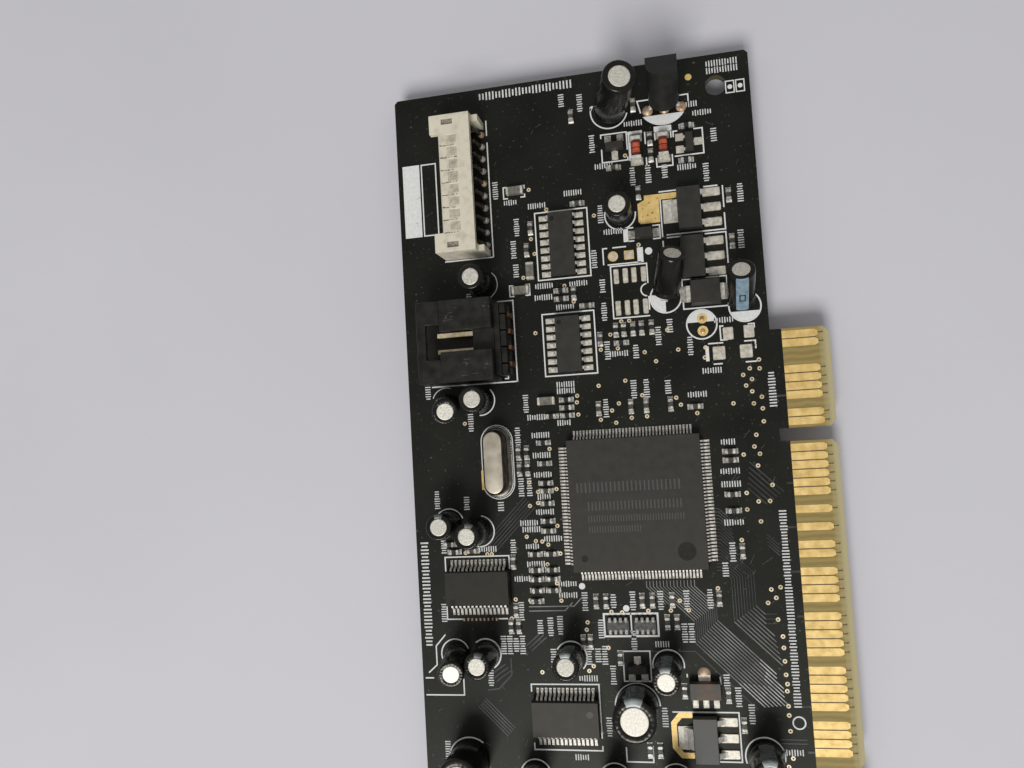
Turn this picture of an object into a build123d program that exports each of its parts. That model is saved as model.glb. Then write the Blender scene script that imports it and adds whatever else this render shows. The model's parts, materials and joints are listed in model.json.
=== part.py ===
"""Short PCI sound card: a printed circuit board with its edge connector, chips, headers, jacks and bracket.

Sizes are in millimetres. X runs from the card's top edge to the edge connector, Y runs away from the
bracket and Z is up from the component face. The origin is contact 1, on the tab's leading edge and the
component face.
"""

import os
from math import cos, radians, sin, tan

from build123d import *

os.makedirs("parts", exist_ok=True)

UP = Vector(0, 0, 1)

# Board
CARD_HEIGHT = 64.4
CARD_REACH = 121.0
BRACKET_REACH = 36.5
BRACKET_GAP = 0.3
BOARD_THICKNESS = 1.57
BOARD_CORNER = 0.5
HOLE_RADIUS = 1.55
HOLE_FROM_SIDE = 5.0
HOLE_FROM_END = 4.85

TOP_EDGE = -CARD_HEIGHT
NEAR_END = BRACKET_GAP - BRACKET_REACH

# Edge connector
CONTACT_PITCH = 1.27
CONTACT_COUNT = 62
CONTACT_WIDTH = 1.1
CONTACT_THICKNESS = 0.05
CONTACT_ROOT = 6.65
CONTACT_TIP = 1.65
TAB_DEPTH = 8.28
TAB_MARGIN = 0.9
TAB_CORNER = 0.9
TAB_BEVEL_LENGTH = 1.2
TAB_BEVEL_DEPTH = 0.4
KEY_WIDTH = 1.9
KEY_DEPTH = 8.0
KEY_PAIRS = [(12, 13), (50, 51)]
BLANK_CONTACTS = [14, 19, 25, 31, 36, 39, 41, 43, 54, 59, 60]

# Gull-wing packages
MOULD_DRAFT = 8.0

PROCESSOR_X = -29.4
PROCESSOR_Y = 53.9
PROCESSOR_SIZE = 20.0
PROCESSOR_HEIGHT = 1.4
PROCESSOR_STANDOFF = 0.1
PROCESSOR_ROW_COUNT = 36
PROCESSOR_PITCH = 0.5
PROCESSOR_LEAD_REACH = 1.0
PROCESSOR_LEAD_FOOT = 0.55
PROCESSOR_LEAD_WIDTH = 0.24
PROCESSOR_LEAD_THICKNESS = 0.14

SHRINK_LENGTH = 10.2
SHRINK_WIDTH = 5.3
SHRINK_HEIGHT = 1.75
SHRINK_STANDOFF = 0.1
SHRINK_ROW_COUNT = 14
SHRINK_PITCH = 0.65
SHRINK_LEAD_REACH = 1.25
SHRINK_LEAD_FOOT = 0.7
SHRINK_LEAD_WIDTH = 0.32
SHRINK_LEAD_THICKNESS = 0.17
CONVERTER_FROM_TOP = 9.9
CONVERTER_Y = 41.9
CODEC_X = -41.95
CODEC_Y = 22.35

SMALL_OUTLINE_WIDTH = 3.9
SMALL_OUTLINE_HEIGHT = 1.5
SMALL_OUTLINE_STANDOFF = 0.15
SMALL_OUTLINE_PITCH = 1.27
SMALL_OUTLINE_END = 0.5
SMALL_OUTLINE_LEAD_REACH = 1.05
SMALL_OUTLINE_LEAD_FOOT = 0.65
SMALL_OUTLINE_LEAD_WIDTH = 0.45
SMALL_OUTLINE_LEAD_THICKNESS = 0.2
AMPLIFIER_X = -38.1
AMPLIFIER_Y = 94.25
AMPLIFIER_ROW_COUNT = 8
SWITCH_FROM_TOP = 26.4
SWITCH_Y = 78.65
SWITCH_ROW_COUNT = 7

# Power transistors with one wide tab
REGULATOR_LENGTH = 6.5
REGULATOR_WIDTH = 3.5
REGULATOR_HEIGHT = 1.6
REGULATOR_STANDOFF = 0.06
REGULATOR_PITCH = 2.3
REGULATOR_LEAD_REACH = 1.75
REGULATOR_LEAD_FOOT = 1.0
REGULATOR_LEAD_WIDTH = 0.75
REGULATOR_TAB_WIDTH = 3.0
REGULATOR_LEAD_THICKNESS = 0.28
REGULATOR_PLACES = {"upper": (-18.5, 97.6), "middle": (-18.5, 90.15), "lower": (-21.65, 19.55)}

DRIVER_X = -21.25
DRIVER_Y = 26.5
DRIVER_LENGTH = 4.5
DRIVER_WIDTH = 2.5
DRIVER_HEIGHT = 1.5
DRIVER_PITCH = 1.5
DRIVER_LEAD_LENGTH = 1.0
DRIVER_LEAD_WIDTH = 0.45
DRIVER_TAB_LENGTH = 0.9
DRIVER_TAB_WIDTH = 1.7
DRIVER_LEAD_THICKNESS = 0.4

# Small three-lead transistors, each with the direction that its single lead points
TRANSISTOR_LENGTH = 2.9
TRANSISTOR_WIDTH = 1.3
TRANSISTOR_HEIGHT = 1.0
TRANSISTOR_STANDOFF = 0.05
TRANSISTOR_LEAD_REACH = 0.55
TRANSISTOR_LEAD_WIDTH = 0.42
TRANSISTOR_LEAD_THICKNESS = 0.15
TRANSISTOR_LEAD_SPREAD = 1.9
TRANSISTOR_PLACES = [(-29.05, 108.7, -90), (-17.75, 107.9, 0), (-30.8, 29.4, 90)]

# Round transistor that leans on its three wires
ROUND_TRANSISTOR_X = -21.1
ROUND_TRANSISTOR_FROM_END = 7.4
ROUND_TRANSISTOR_LEAN = 20.0
ROUND_TRANSISTOR_RADIUS = 2.25
ROUND_TRANSISTOR_FLAT = 1.25
ROUND_TRANSISTOR_LENGTH = 7.6
ROUND_TRANSISTOR_LIFT = 2.0
WIRE_WIDTH = 0.45
WIRE_SPREAD = 2.54
WIRE_PITCH = 1.27

# Diodes
GLASS_DIODE_PLACES = [(-25.75, 107.75), (-21.65, 107.75)]
GLASS_DIODE_RADIUS = 0.68
GLASS_DIODE_LENGTH = 2.5
DIODE_CAP_WIDTH = 1.46
DIODE_CAP_LENGTH = 0.5

POWER_DIODE_X = -17.05
POWER_DIODE_Y = 84.7
POWER_DIODE_LENGTH = 4.4
POWER_DIODE_WIDTH = 3.7
POWER_DIODE_HEIGHT = 2.3
POWER_DIODE_END_LENGTH = 0.6
POWER_DIODE_END_WIDTH = 2.2
POWER_DIODE_END_HEIGHT = 1.1

SIGNAL_DIODE_X = -25.5
SIGNAL_DIODE_Y = 94.65
SIGNAL_DIODE_LENGTH = 2.7
SIGNAL_DIODE_WIDTH = 1.7
SIGNAL_DIODE_HEIGHT = 1.25
SIGNAL_DIODE_END_LENGTH = 0.6
SIGNAL_DIODE_END_WIDTH = 0.9
SIGNAL_DIODE_END_HEIGHT = 0.35

# Aluminium capacitors: each place is X, Y, the lean in degrees and the direction of the lean
SMALL_CAPACITOR_RADIUS = 2.0
SMALL_CAPACITOR_HEIGHT = 7.2
SHORT_CAPACITOR_HEIGHT = 5.7
MEDIUM_CAPACITOR_RADIUS = 2.5
MEDIUM_CAPACITOR_HEIGHT = 7.6
TALL_CAPACITOR_HEIGHT = 11.0
LARGE_CAPACITOR_RADIUS = 3.15
LARGE_CAPACITOR_HEIGHT = 7.6
SHORT_CAPACITOR_PLACE = (-28.9, 98.2, 0, 0)
TALL_CAPACITOR_X = -29.4
TALL_CAPACITOR_FROM_END = 6.4
TALL_CAPACITOR_LEAN = 13
TALL_CAPACITOR_TOWARD = 6
MEDIUM_CAPACITOR_PLACE = (-13.4, 16.8, 0, 0)
LARGE_CAPACITOR_PLACE = (-31.2, 24.2, 0, 0)
LARGE_CAPACITOR_FROM_TOP = (7.0, 15.5, 0, 0)
SMALL_CAPACITOR_PLACES = [
    (-51.4, 89.3, 0, 0),
    (-40.7, 31.1, 4, 70),
    (-26.3, 29.8, 3, -120),
    (-22.8, 85.05, 45, 74),
    (-12.0, 82.9, 30, 92),
    (-35.2, 13.3, 0, 0),
    (-26.2, 13.4, 0, 0),
]
SMALL_CAPACITORS_FROM_TOP = [
    (6.3, 70.3, 17, -32),
    (11.5, 70.8, 6, 0),
    (5.6, 51.8, 4, 30),
    (10.2, 50.5, 0, 0),
    (5.9, 31.4, 10, -42),
    (10.7, 31.6, 0, 0),
    (17.2, 13.6, 0, 0),
]

# Crystal in a welded can
CRYSTAL_FROM_TOP = 14.0
CRYSTAL_Y = 61.1
CRYSTAL_LENGTH = 11.05
CRYSTAL_WIDTH = 4.6
CRYSTAL_HEIGHT = 3.3

# White side-entry header
PANEL_HEADER_FRONT = 7.4
PANEL_HEADER_Y = 104.5
PANEL_HEADER_END = 1.8
PANEL_HEADER_DEPTH = 6.4
PANEL_HEADER_HEIGHT = 5.8
PANEL_HEADER_WALL = 1.0
PANEL_HEADER_BACK = 1.4
PANEL_HEADER_SETBACK = 1.5
PANEL_HEADER_CHEEK = 3.0
PANEL_HEADER_WINDOW_LENGTH = 1.8
PANEL_HEADER_WINDOW_WIDTH = 0.9
PANEL_HEADER_WINDOW_SETBACK = 1.95
PANEL_HEADER_WINDOW_FROM_END = 1.15
PANEL_HEADER_EAR = 1.0
PANEL_HEADER_EAR_HEIGHT = 4.2
PANEL_PIN_COUNT = 10
PANEL_PIN_PITCH = 2.0
PANEL_PIN_WIDTH = 0.5
PANEL_PIN_HEIGHT = 2.9
PANEL_PIN_TAIL = 0.45

# Black shrouded header
AUDIO_HEADER_FRONT = 3.8
AUDIO_HEADER_Y = 79.9
AUDIO_HEADER_END = 2.49
AUDIO_HEADER_DEPTH = 11.8
AUDIO_HEADER_HEIGHT = 6.4
AUDIO_HEADER_WALL = 1.0
AUDIO_HEADER_BACK = 3.4
AUDIO_HEADER_BRIDGE = 1.4
AUDIO_HEADER_MOUTH_LENGTH = 5.4
AUDIO_HEADER_MOUTH_DEPTH = 2.3
AUDIO_HEADER_SLOT = 3.2
AUDIO_HEADER_LEDGE = 1.85
AUDIO_HEADER_LEDGE_HEIGHT = 4.4
AUDIO_HEADER_LEDGE_INSET = 0.8
AUDIO_PIN_COUNT = 4
AUDIO_PIN_PITCH = 2.54
AUDIO_PIN_WIDTH = 0.64
AUDIO_PIN_HEIGHT = 3.2
AUDIO_PIN_SETBACK = 1.1
AUDIO_TAIL_THICKNESS = 0.4
AUDIO_TAIL_HEIGHT = 3.0

# Resistor arrays and ferrite beads
ARRAY_PLACES = [(-33.3, 35.8), (-29.3, 35.8)]
ARRAY_LENGTH = 3.2
ARRAY_WIDTH = 1.6
ARRAY_HEIGHT = 0.6
BEAD_LENGTH = 2.6
BEAD_WIDTH = 1.2
BEAD_HEIGHT = 0.9
BEADS_ACROSS_FROM_TOP = [(19.3, 103.6), (19.3, 87.7), (22.3, 70.1)]
BEADS_ALONG_PLACES = [(-43.4, 90.6)]

# Jacks
JACK_COUNT = 3
JACK_PITCH = 12.7
JACK_MIDDLE_X = -36.3
JACK_WIDTH = 8.6
JACK_DEPTH = 14.0
JACK_HEIGHT = 8.0
JACK_AXIS_HEIGHT = 4.2
JACK_NOSE_RADIUS = 3.0
JACK_NOSE_LENGTH = 2.3
JACK_BORE_RADIUS = 1.8
JACK_BORE_DEPTH = 13.5

# Bracket
SHEET = 0.86
BRACKET_HEIGHT = 120.0
BRACKET_WIDTH = 18.4
BRACKET_BELOW_BOARD = 2.4
BRACKET_TONGUE_LENGTH = 8.4
BRACKET_TONGUE_WIDTH = 10.2
BRACKET_TONGUE_CORNER = 2.0
BRACKET_FLANGE = 11.4
BRACKET_SCREW_NOTCH = 4.4
BRACKET_NOTCH_DEPTH = 6.0
BRACKET_HOLE_CLEARANCE = 0.2
EAR_WIDTH = 6.0
EAR_LENGTH = 7.4
EAR_INSET = 3.2


def contact_places(blank):
    """Y of each contact that the tab carries, without the keys and the blank ones."""
    keyed = [number for pair in KEY_PAIRS for number in pair]
    numbers = [n for n in range(1, CONTACT_COUNT + 1) if n not in keyed and n not in blank]
    return [(n - 1) * CONTACT_PITCH for n in numbers]


def outward(facing):
    """Level unit vector that points in the direction facing, in degrees from X."""
    return Vector(cos(radians(facing)), sin(radians(facing)), 0)


def lead_planes(x, y, facing, count, pitch):
    """One upright plane for each lead of a row: x leaves the body and the normal runs along the row."""
    out = outward(facing)
    along = out.cross(UP)
    middle = (count - 1) / 2
    return [Plane(Vector(x, y, 0) + along * ((i - middle) * pitch), out, along) for i in range(count)]


def gull_wing(half_body, reach, foot, middle, thickness):
    """Side profile of a lead: down from the middle of the body's side, then a foot that thins to its tip."""
    run = reach - foot
    slope = (run * run + middle * middle) ** 0.5
    rise = thickness * slope / run
    heel = thickness * (slope - run) / middle
    tip = half_body + reach
    root = middle - rise / 2
    return [
        (half_body, root + rise),
        (tip - foot + heel, thickness),
        (tip, 0),
        (tip - foot, 0),
        (half_body, root),
    ]


def straight_lead(half_body, reach, foot, middle, thickness):
    """Simpler side profile of a lead: a strip that runs straight from the body's side to its foot."""
    profile = gull_wing(half_body, reach, foot, middle, thickness)
    return [profile[0], *profile[2:]]


def leaning_plane(x, y, lean, toward, radius):
    """Plane of a can's base: its normal is the can's axis, and its rim's lowest point is on the board."""
    axis = outward(toward) * sin(radians(lean)) + UP * cos(radians(lean))
    return Plane(Vector(x, y, radius * sin(radians(lean))), outward(toward + 90), axis)


def save(builder, name):
    """Label a finished piece and write it."""
    builder.part.label = name
    export_step(builder.part, f"parts/{name}.step")


def save_body(name, x, y, length_x, length_y, height, standoff):
    """Moulded package body whose sides taper both ways from the parting line."""
    with BuildPart() as body:
        with BuildSketch(Plane.XY.offset(standoff + height / 2)):
            with Locations((x, y)):
                Rectangle(length_x, length_y)
        extrude(amount=height / 2, both=True, taper=MOULD_DRAFT)
    save(body, name)


def save_leads(name, rows, width):
    """Rows of leads, each a list of planes with the profile that stands on them."""
    with BuildPart() as leads:
        for planes, profile in rows:
            with BuildSketch(*planes):
                Polygon(*profile, align=None)
            extrude(amount=width / 2, both=True)
    save(leads, name)


# Board with its keyed tab
tab_start = -TAB_MARGIN
tab_end = (CONTACT_COUNT - 1) * CONTACT_PITCH + TAB_MARGIN
tab_length = tab_end - tab_start
tab_middle = (tab_start + tab_end) / 2
key_places = [(sum(pair) / 2 - 1) * CONTACT_PITCH for pair in KEY_PAIRS]
ear_places = [TOP_EDGE + EAR_INSET, -TAB_DEPTH - EAR_INSET]

with BuildPart() as board:
    with BuildSketch() as board_outline:
        with Locations(((TOP_EDGE - TAB_DEPTH) / 2, (NEAR_END + CARD_REACH) / 2)):
            Rectangle(CARD_HEIGHT - TAB_DEPTH, CARD_REACH - NEAR_END)
        chamfer(board_outline.vertices(), BOARD_CORNER)
        with Locations((-TAB_DEPTH / 2, tab_middle)):
            Rectangle(TAB_DEPTH, tab_length)
        with Locations(*[(-KEY_DEPTH / 2, y) for y in key_places]):
            Rectangle(KEY_DEPTH, KEY_WIDTH, mode=Mode.SUBTRACT)
        chamfer(board_outline.vertices().group_by(Axis.X)[-1], TAB_CORNER)
        with Locations((-TAB_DEPTH - HOLE_FROM_SIDE, CARD_REACH - HOLE_FROM_END)):
            Circle(HOLE_RADIUS, mode=Mode.SUBTRACT)
    extrude(amount=-BOARD_THICKNESS)
    with BuildSketch(Plane.XZ.offset(-tab_start)):
        Polygon((-TAB_BEVEL_LENGTH, 0), (0, 0), (0, -TAB_BEVEL_DEPTH), align=None)
        Polygon(
            (-TAB_BEVEL_LENGTH, -BOARD_THICKNESS),
            (0, -BOARD_THICKNESS),
            (0, TAB_BEVEL_DEPTH - BOARD_THICKNESS),
            align=None,
        )
    extrude(amount=-tab_length, mode=Mode.SUBTRACT)
save(board, "board")

# Gold contacts on both faces of the tab
contact_middle = -(CONTACT_ROOT + CONTACT_TIP) / 2
contact_faces = {
    "component_contacts": (0, CONTACT_THICKNESS, BLANK_CONTACTS),
    "solder_contacts": (-BOARD_THICKNESS, -CONTACT_THICKNESS, []),
}
for name, (face, thickness, blank) in contact_faces.items():
    with BuildPart() as contacts:
        with BuildSketch(Plane.XY.offset(face)):
            with Locations(*[(contact_middle, y) for y in contact_places(blank)]):
                Rectangle(CONTACT_ROOT - CONTACT_TIP, CONTACT_WIDTH)
        extrude(amount=thickness)
    save(contacts, name)

# Audio processor, with leads on all four sides
save_body(
    "processor_body",
    PROCESSOR_X,
    PROCESSOR_Y,
    PROCESSOR_SIZE,
    PROCESSOR_SIZE,
    PROCESSOR_HEIGHT,
    PROCESSOR_STANDOFF,
)
processor_lead = gull_wing(
    PROCESSOR_SIZE / 2,
    PROCESSOR_LEAD_REACH,
    PROCESSOR_LEAD_FOOT,
    PROCESSOR_STANDOFF + PROCESSOR_HEIGHT / 2,
    PROCESSOR_LEAD_THICKNESS,
)
processor_rows = []
for facing in (0, 90, 180, 270):
    row = lead_planes(PROCESSOR_X, PROCESSOR_Y, facing, PROCESSOR_ROW_COUNT, PROCESSOR_PITCH)
    processor_rows.append((row, processor_lead))
save_leads("processor_leads", processor_rows, PROCESSOR_LEAD_WIDTH)

# Converter and codec in shrink packages, with leads at both ends of Y
shrink_lead = straight_lead(
    SHRINK_WIDTH / 2,
    SHRINK_LEAD_REACH,
    SHRINK_LEAD_FOOT,
    SHRINK_STANDOFF + SHRINK_HEIGHT / 2,
    SHRINK_LEAD_THICKNESS,
)
shrink_places = {"converter": (TOP_EDGE + CONVERTER_FROM_TOP, CONVERTER_Y), "codec": (CODEC_X, CODEC_Y)}
for name, (x, y) in shrink_places.items():
    save_body(f"{name}_body", x, y, SHRINK_LENGTH, SHRINK_WIDTH, SHRINK_HEIGHT, SHRINK_STANDOFF)
    rows = []
    for facing in (90, 270):
        rows.append((lead_planes(x, y, facing, SHRINK_ROW_COUNT, SHRINK_PITCH), shrink_lead))
    save_leads(f"{name}_leads", rows, SHRINK_LEAD_WIDTH)

# Amplifier and analogue switch in small-outline packages, with leads at both ends of X
small_outline_lead = straight_lead(
    SMALL_OUTLINE_WIDTH / 2,
    SMALL_OUTLINE_LEAD_REACH,
    SMALL_OUTLINE_LEAD_FOOT,
    SMALL_OUTLINE_STANDOFF + SMALL_OUTLINE_HEIGHT / 2,
    SMALL_OUTLINE_LEAD_THICKNESS,
)
small_outline_places = {
    "amplifier": (AMPLIFIER_X, AMPLIFIER_Y, AMPLIFIER_ROW_COUNT),
    "switch": (TOP_EDGE + SWITCH_FROM_TOP, SWITCH_Y, SWITCH_ROW_COUNT),
}
for name, (x, y, count) in small_outline_places.items():
    length = (count - 1) * SMALL_OUTLINE_PITCH + 2 * SMALL_OUTLINE_END
    save_body(
        f"{name}_body", x, y, SMALL_OUTLINE_WIDTH, length, SMALL_OUTLINE_HEIGHT, SMALL_OUTLINE_STANDOFF
    )
    rows = []
    for facing in (0, 180):
        rows.append((lead_planes(x, y, facing, count, SMALL_OUTLINE_PITCH), small_outline_lead))
    save_leads(f"{name}_leads", rows, SMALL_OUTLINE_LEAD_WIDTH)

# Voltage regulators: three leads towards the edge connector and one wide tab away from it
regulator_lead = gull_wing(
    REGULATOR_WIDTH / 2,
    REGULATOR_LEAD_REACH,
    REGULATOR_LEAD_FOOT,
    REGULATOR_STANDOFF + REGULATOR_HEIGHT / 2,
    REGULATOR_LEAD_THICKNESS,
)
for name, (x, y) in REGULATOR_PLACES.items():
    save_body(
        f"{name}_regulator_body",
        x,
        y,
        REGULATOR_WIDTH,
        REGULATOR_LENGTH,
        REGULATOR_HEIGHT,
        REGULATOR_STANDOFF,
    )
    with BuildPart() as regulator_leads:
        with BuildSketch(*lead_planes(x, y, 0, 3, REGULATOR_PITCH)):
            Polygon(*regulator_lead, align=None)
        extrude(amount=REGULATOR_LEAD_WIDTH / 2, both=True)
        with BuildSketch(*lead_planes(x, y, 180, 1, REGULATOR_PITCH)):
            Polygon(*regulator_lead, align=None)
        extrude(amount=REGULATOR_TAB_WIDTH / 2, both=True)
    save(regulator_leads, f"{name}_regulator_leads")

# Driver transistor: three flat leads at the near side and a short tab at the far side
driver_near = DRIVER_Y - DRIVER_WIDTH / 2
driver_far = DRIVER_Y + DRIVER_WIDTH / 2
save_body("driver_body", DRIVER_X, DRIVER_Y, DRIVER_LENGTH, DRIVER_WIDTH, DRIVER_HEIGHT, 0)
with BuildPart() as driver_leads:
    with BuildSketch():
        with Locations((DRIVER_X, driver_near - DRIVER_LEAD_LENGTH / 2)):
            with GridLocations(DRIVER_PITCH, DRIVER_PITCH, 3, 1):
                Rectangle(DRIVER_LEAD_WIDTH, DRIVER_LEAD_LENGTH)
        with Locations((DRIVER_X, driver_far + DRIVER_TAB_LENGTH / 2)):
            Rectangle(DRIVER_TAB_WIDTH, DRIVER_TAB_LENGTH)
    extrude(amount=DRIVER_LEAD_THICKNESS)
save(driver_leads, "driver_leads")

# Small transistors: two leads on one side and one on the other
with BuildPart() as transistor_bodies:
    for x, y, facing in TRANSISTOR_PLACES:
        with BuildSketch(Plane.XY.offset(TRANSISTOR_STANDOFF)):
            with Locations(Location((x, y), facing)):
                Rectangle(TRANSISTOR_WIDTH, TRANSISTOR_LENGTH)
        extrude(amount=TRANSISTOR_HEIGHT, taper=MOULD_DRAFT)
save(transistor_bodies, "transistor_bodies")

lead_middle = TRANSISTOR_WIDTH / 2 + TRANSISTOR_LEAD_REACH / 2
with BuildPart() as transistor_leads:
    for x, y, facing in TRANSISTOR_PLACES:
        with BuildSketch():
            with Locations(Location((x, y), facing)):
                with Locations(
                    (lead_middle, 0),
                    (-lead_middle, TRANSISTOR_LEAD_SPREAD / 2),
                    (-lead_middle, -TRANSISTOR_LEAD_SPREAD / 2),
                ):
                    Rectangle(TRANSISTOR_LEAD_REACH, TRANSISTOR_LEAD_WIDTH)
        extrude(amount=TRANSISTOR_LEAD_THICKNESS)
save(transistor_leads, "transistor_leads")

# Round transistor that leans towards the far end on its three wires
round_y = CARD_REACH - ROUND_TRANSISTOR_FROM_END
round_lean = radians(ROUND_TRANSISTOR_LEAN)
round_axis = Vector(0, sin(round_lean), cos(round_lean))
round_root = Vector(ROUND_TRANSISTOR_X, round_y, 0)
round_base = Plane(round_root + round_axis * ROUND_TRANSISTOR_LIFT, (1, 0, 0), round_axis)
with BuildPart() as round_transistor:
    with BuildSketch(round_base):
        Circle(ROUND_TRANSISTOR_RADIUS)
        with Locations((0, ROUND_TRANSISTOR_RADIUS / 2)):
            Rectangle(2 * ROUND_TRANSISTOR_RADIUS, ROUND_TRANSISTOR_RADIUS, mode=Mode.SUBTRACT)
        with Locations((0, ROUND_TRANSISTOR_FLAT / 2)):
            Rectangle(2 * ROUND_TRANSISTOR_RADIUS, ROUND_TRANSISTOR_FLAT)
    extrude(amount=ROUND_TRANSISTOR_LENGTH)
save(round_transistor, "round_transistor")

wire_height = ROUND_TRANSISTOR_LIFT * cos(round_lean) - WIRE_WIDTH / 2 * tan(round_lean)
wire_head_y = round_y + wire_height * tan(round_lean)
with BuildPart() as round_transistor_wires:
    for step in (-1, 0, 1):
        foot = round_root + Vector(step * WIRE_SPREAD, 0, 0)
        head = Vector(ROUND_TRANSISTOR_X + step * WIRE_PITCH, wire_head_y, wire_height)
        with BuildSketch(Plane(foot)):
            Rectangle(WIRE_WIDTH, WIRE_WIDTH)
        with BuildSketch(Plane(head)):
            Rectangle(WIRE_WIDTH, WIRE_WIDTH)
        loft(ruled=True)
save(round_transistor_wires, "round_transistor_wires")

# Glass diodes with square metal end caps
with BuildPart() as glass_diodes:
    for x, y in GLASS_DIODE_PLACES:
        with BuildSketch(Plane.XZ.offset(-y)):
            with Locations((x, DIODE_CAP_WIDTH / 2)):
                Circle(GLASS_DIODE_RADIUS)
        extrude(amount=GLASS_DIODE_LENGTH / 2, both=True)
save(glass_diodes, "glass_diodes")

cap_middle = (GLASS_DIODE_LENGTH + DIODE_CAP_LENGTH) / 2
with BuildPart() as diode_caps:
    with BuildSketch():
        with Locations(*GLASS_DIODE_PLACES):
            with Locations((0, cap_middle), (0, -cap_middle)):
                Rectangle(DIODE_CAP_WIDTH, DIODE_CAP_LENGTH)
    extrude(amount=DIODE_CAP_WIDTH)
save(diode_caps, "diode_caps")

# Power diode and signal diode, with a folded terminal at each end of X
diode_sizes = {
    "power_diode": (
        (POWER_DIODE_X, POWER_DIODE_Y),
        (POWER_DIODE_LENGTH, POWER_DIODE_WIDTH, POWER_DIODE_HEIGHT),
        (POWER_DIODE_END_LENGTH, POWER_DIODE_END_WIDTH, POWER_DIODE_END_HEIGHT),
    ),
    "signal_diode": (
        (SIGNAL_DIODE_X, SIGNAL_DIODE_Y),
        (SIGNAL_DIODE_LENGTH, SIGNAL_DIODE_WIDTH, SIGNAL_DIODE_HEIGHT),
        (SIGNAL_DIODE_END_LENGTH, SIGNAL_DIODE_END_WIDTH, SIGNAL_DIODE_END_HEIGHT),
    ),
}
for name, ((x, y), (length, width, height), (end_length, end_width, end_height)) in diode_sizes.items():
    with BuildPart() as diode_body:
        with BuildSketch():
            with Locations((x, y)):
                Rectangle(length, width)
        extrude(amount=end_height)
        with BuildSketch(Plane.XY.offset(end_height)):
            with Locations((x, y)):
                Rectangle(length, width)
        extrude(amount=height - end_height, taper=MOULD_DRAFT)
    save(diode_body, f"{name}_body")
    with BuildPart() as diode_ends:
        with BuildSketch():
            with Locations((x - (length + end_length) / 2, y), (x + (length + end_length) / 2, y)):
                Rectangle(end_length, end_width)
        extrude(amount=end_height)
    save(diode_ends, f"{name}_terminals")

# Aluminium capacitors, upright or leaning as each one stands
def from_top(place):
    """A place whose X is counted from the card's top edge, as a place on the board."""
    return (TOP_EDGE + place[0], *place[1:])


short_can = (SMALL_CAPACITOR_RADIUS, SHORT_CAPACITOR_HEIGHT)
small_can = (SMALL_CAPACITOR_RADIUS, SMALL_CAPACITOR_HEIGHT)
medium_can = (MEDIUM_CAPACITOR_RADIUS, MEDIUM_CAPACITOR_HEIGHT)
tall_can = (MEDIUM_CAPACITOR_RADIUS, TALL_CAPACITOR_HEIGHT)
large_can = (LARGE_CAPACITOR_RADIUS, LARGE_CAPACITOR_HEIGHT)
small_places = SMALL_CAPACITOR_PLACES + [from_top(place) for place in SMALL_CAPACITORS_FROM_TOP]
tall_place = (
    TALL_CAPACITOR_X,
    CARD_REACH - TALL_CAPACITOR_FROM_END,
    TALL_CAPACITOR_LEAN,
    TALL_CAPACITOR_TOWARD,
)
capacitor_groups = {
    "small_capacitors": [(short_can, SHORT_CAPACITOR_PLACE)] + [(small_can, place) for place in small_places],
    "large_capacitors": [
        (tall_can, tall_place),
        (medium_can, MEDIUM_CAPACITOR_PLACE),
        (large_can, LARGE_CAPACITOR_PLACE),
        (large_can, from_top(LARGE_CAPACITOR_FROM_TOP)),
    ],
}
for name, group in capacitor_groups.items():
    with BuildPart() as capacitors:
        for (radius, height), (x, y, lean, toward) in group:
            with BuildSketch(leaning_plane(x, y, lean, toward, radius)):
                Circle(radius)
            extrude(amount=height)
    save(capacitors, name)

# Crystal in a flat-sided can with round ends
with BuildPart() as crystal:
    with BuildSketch():
        with Locations((TOP_EDGE + CRYSTAL_FROM_TOP, CRYSTAL_Y)):
            SlotOverall(CRYSTAL_LENGTH, CRYSTAL_WIDTH, rotation=90)
    extrude(amount=CRYSTAL_HEIGHT)
save(crystal, "crystal")

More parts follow.
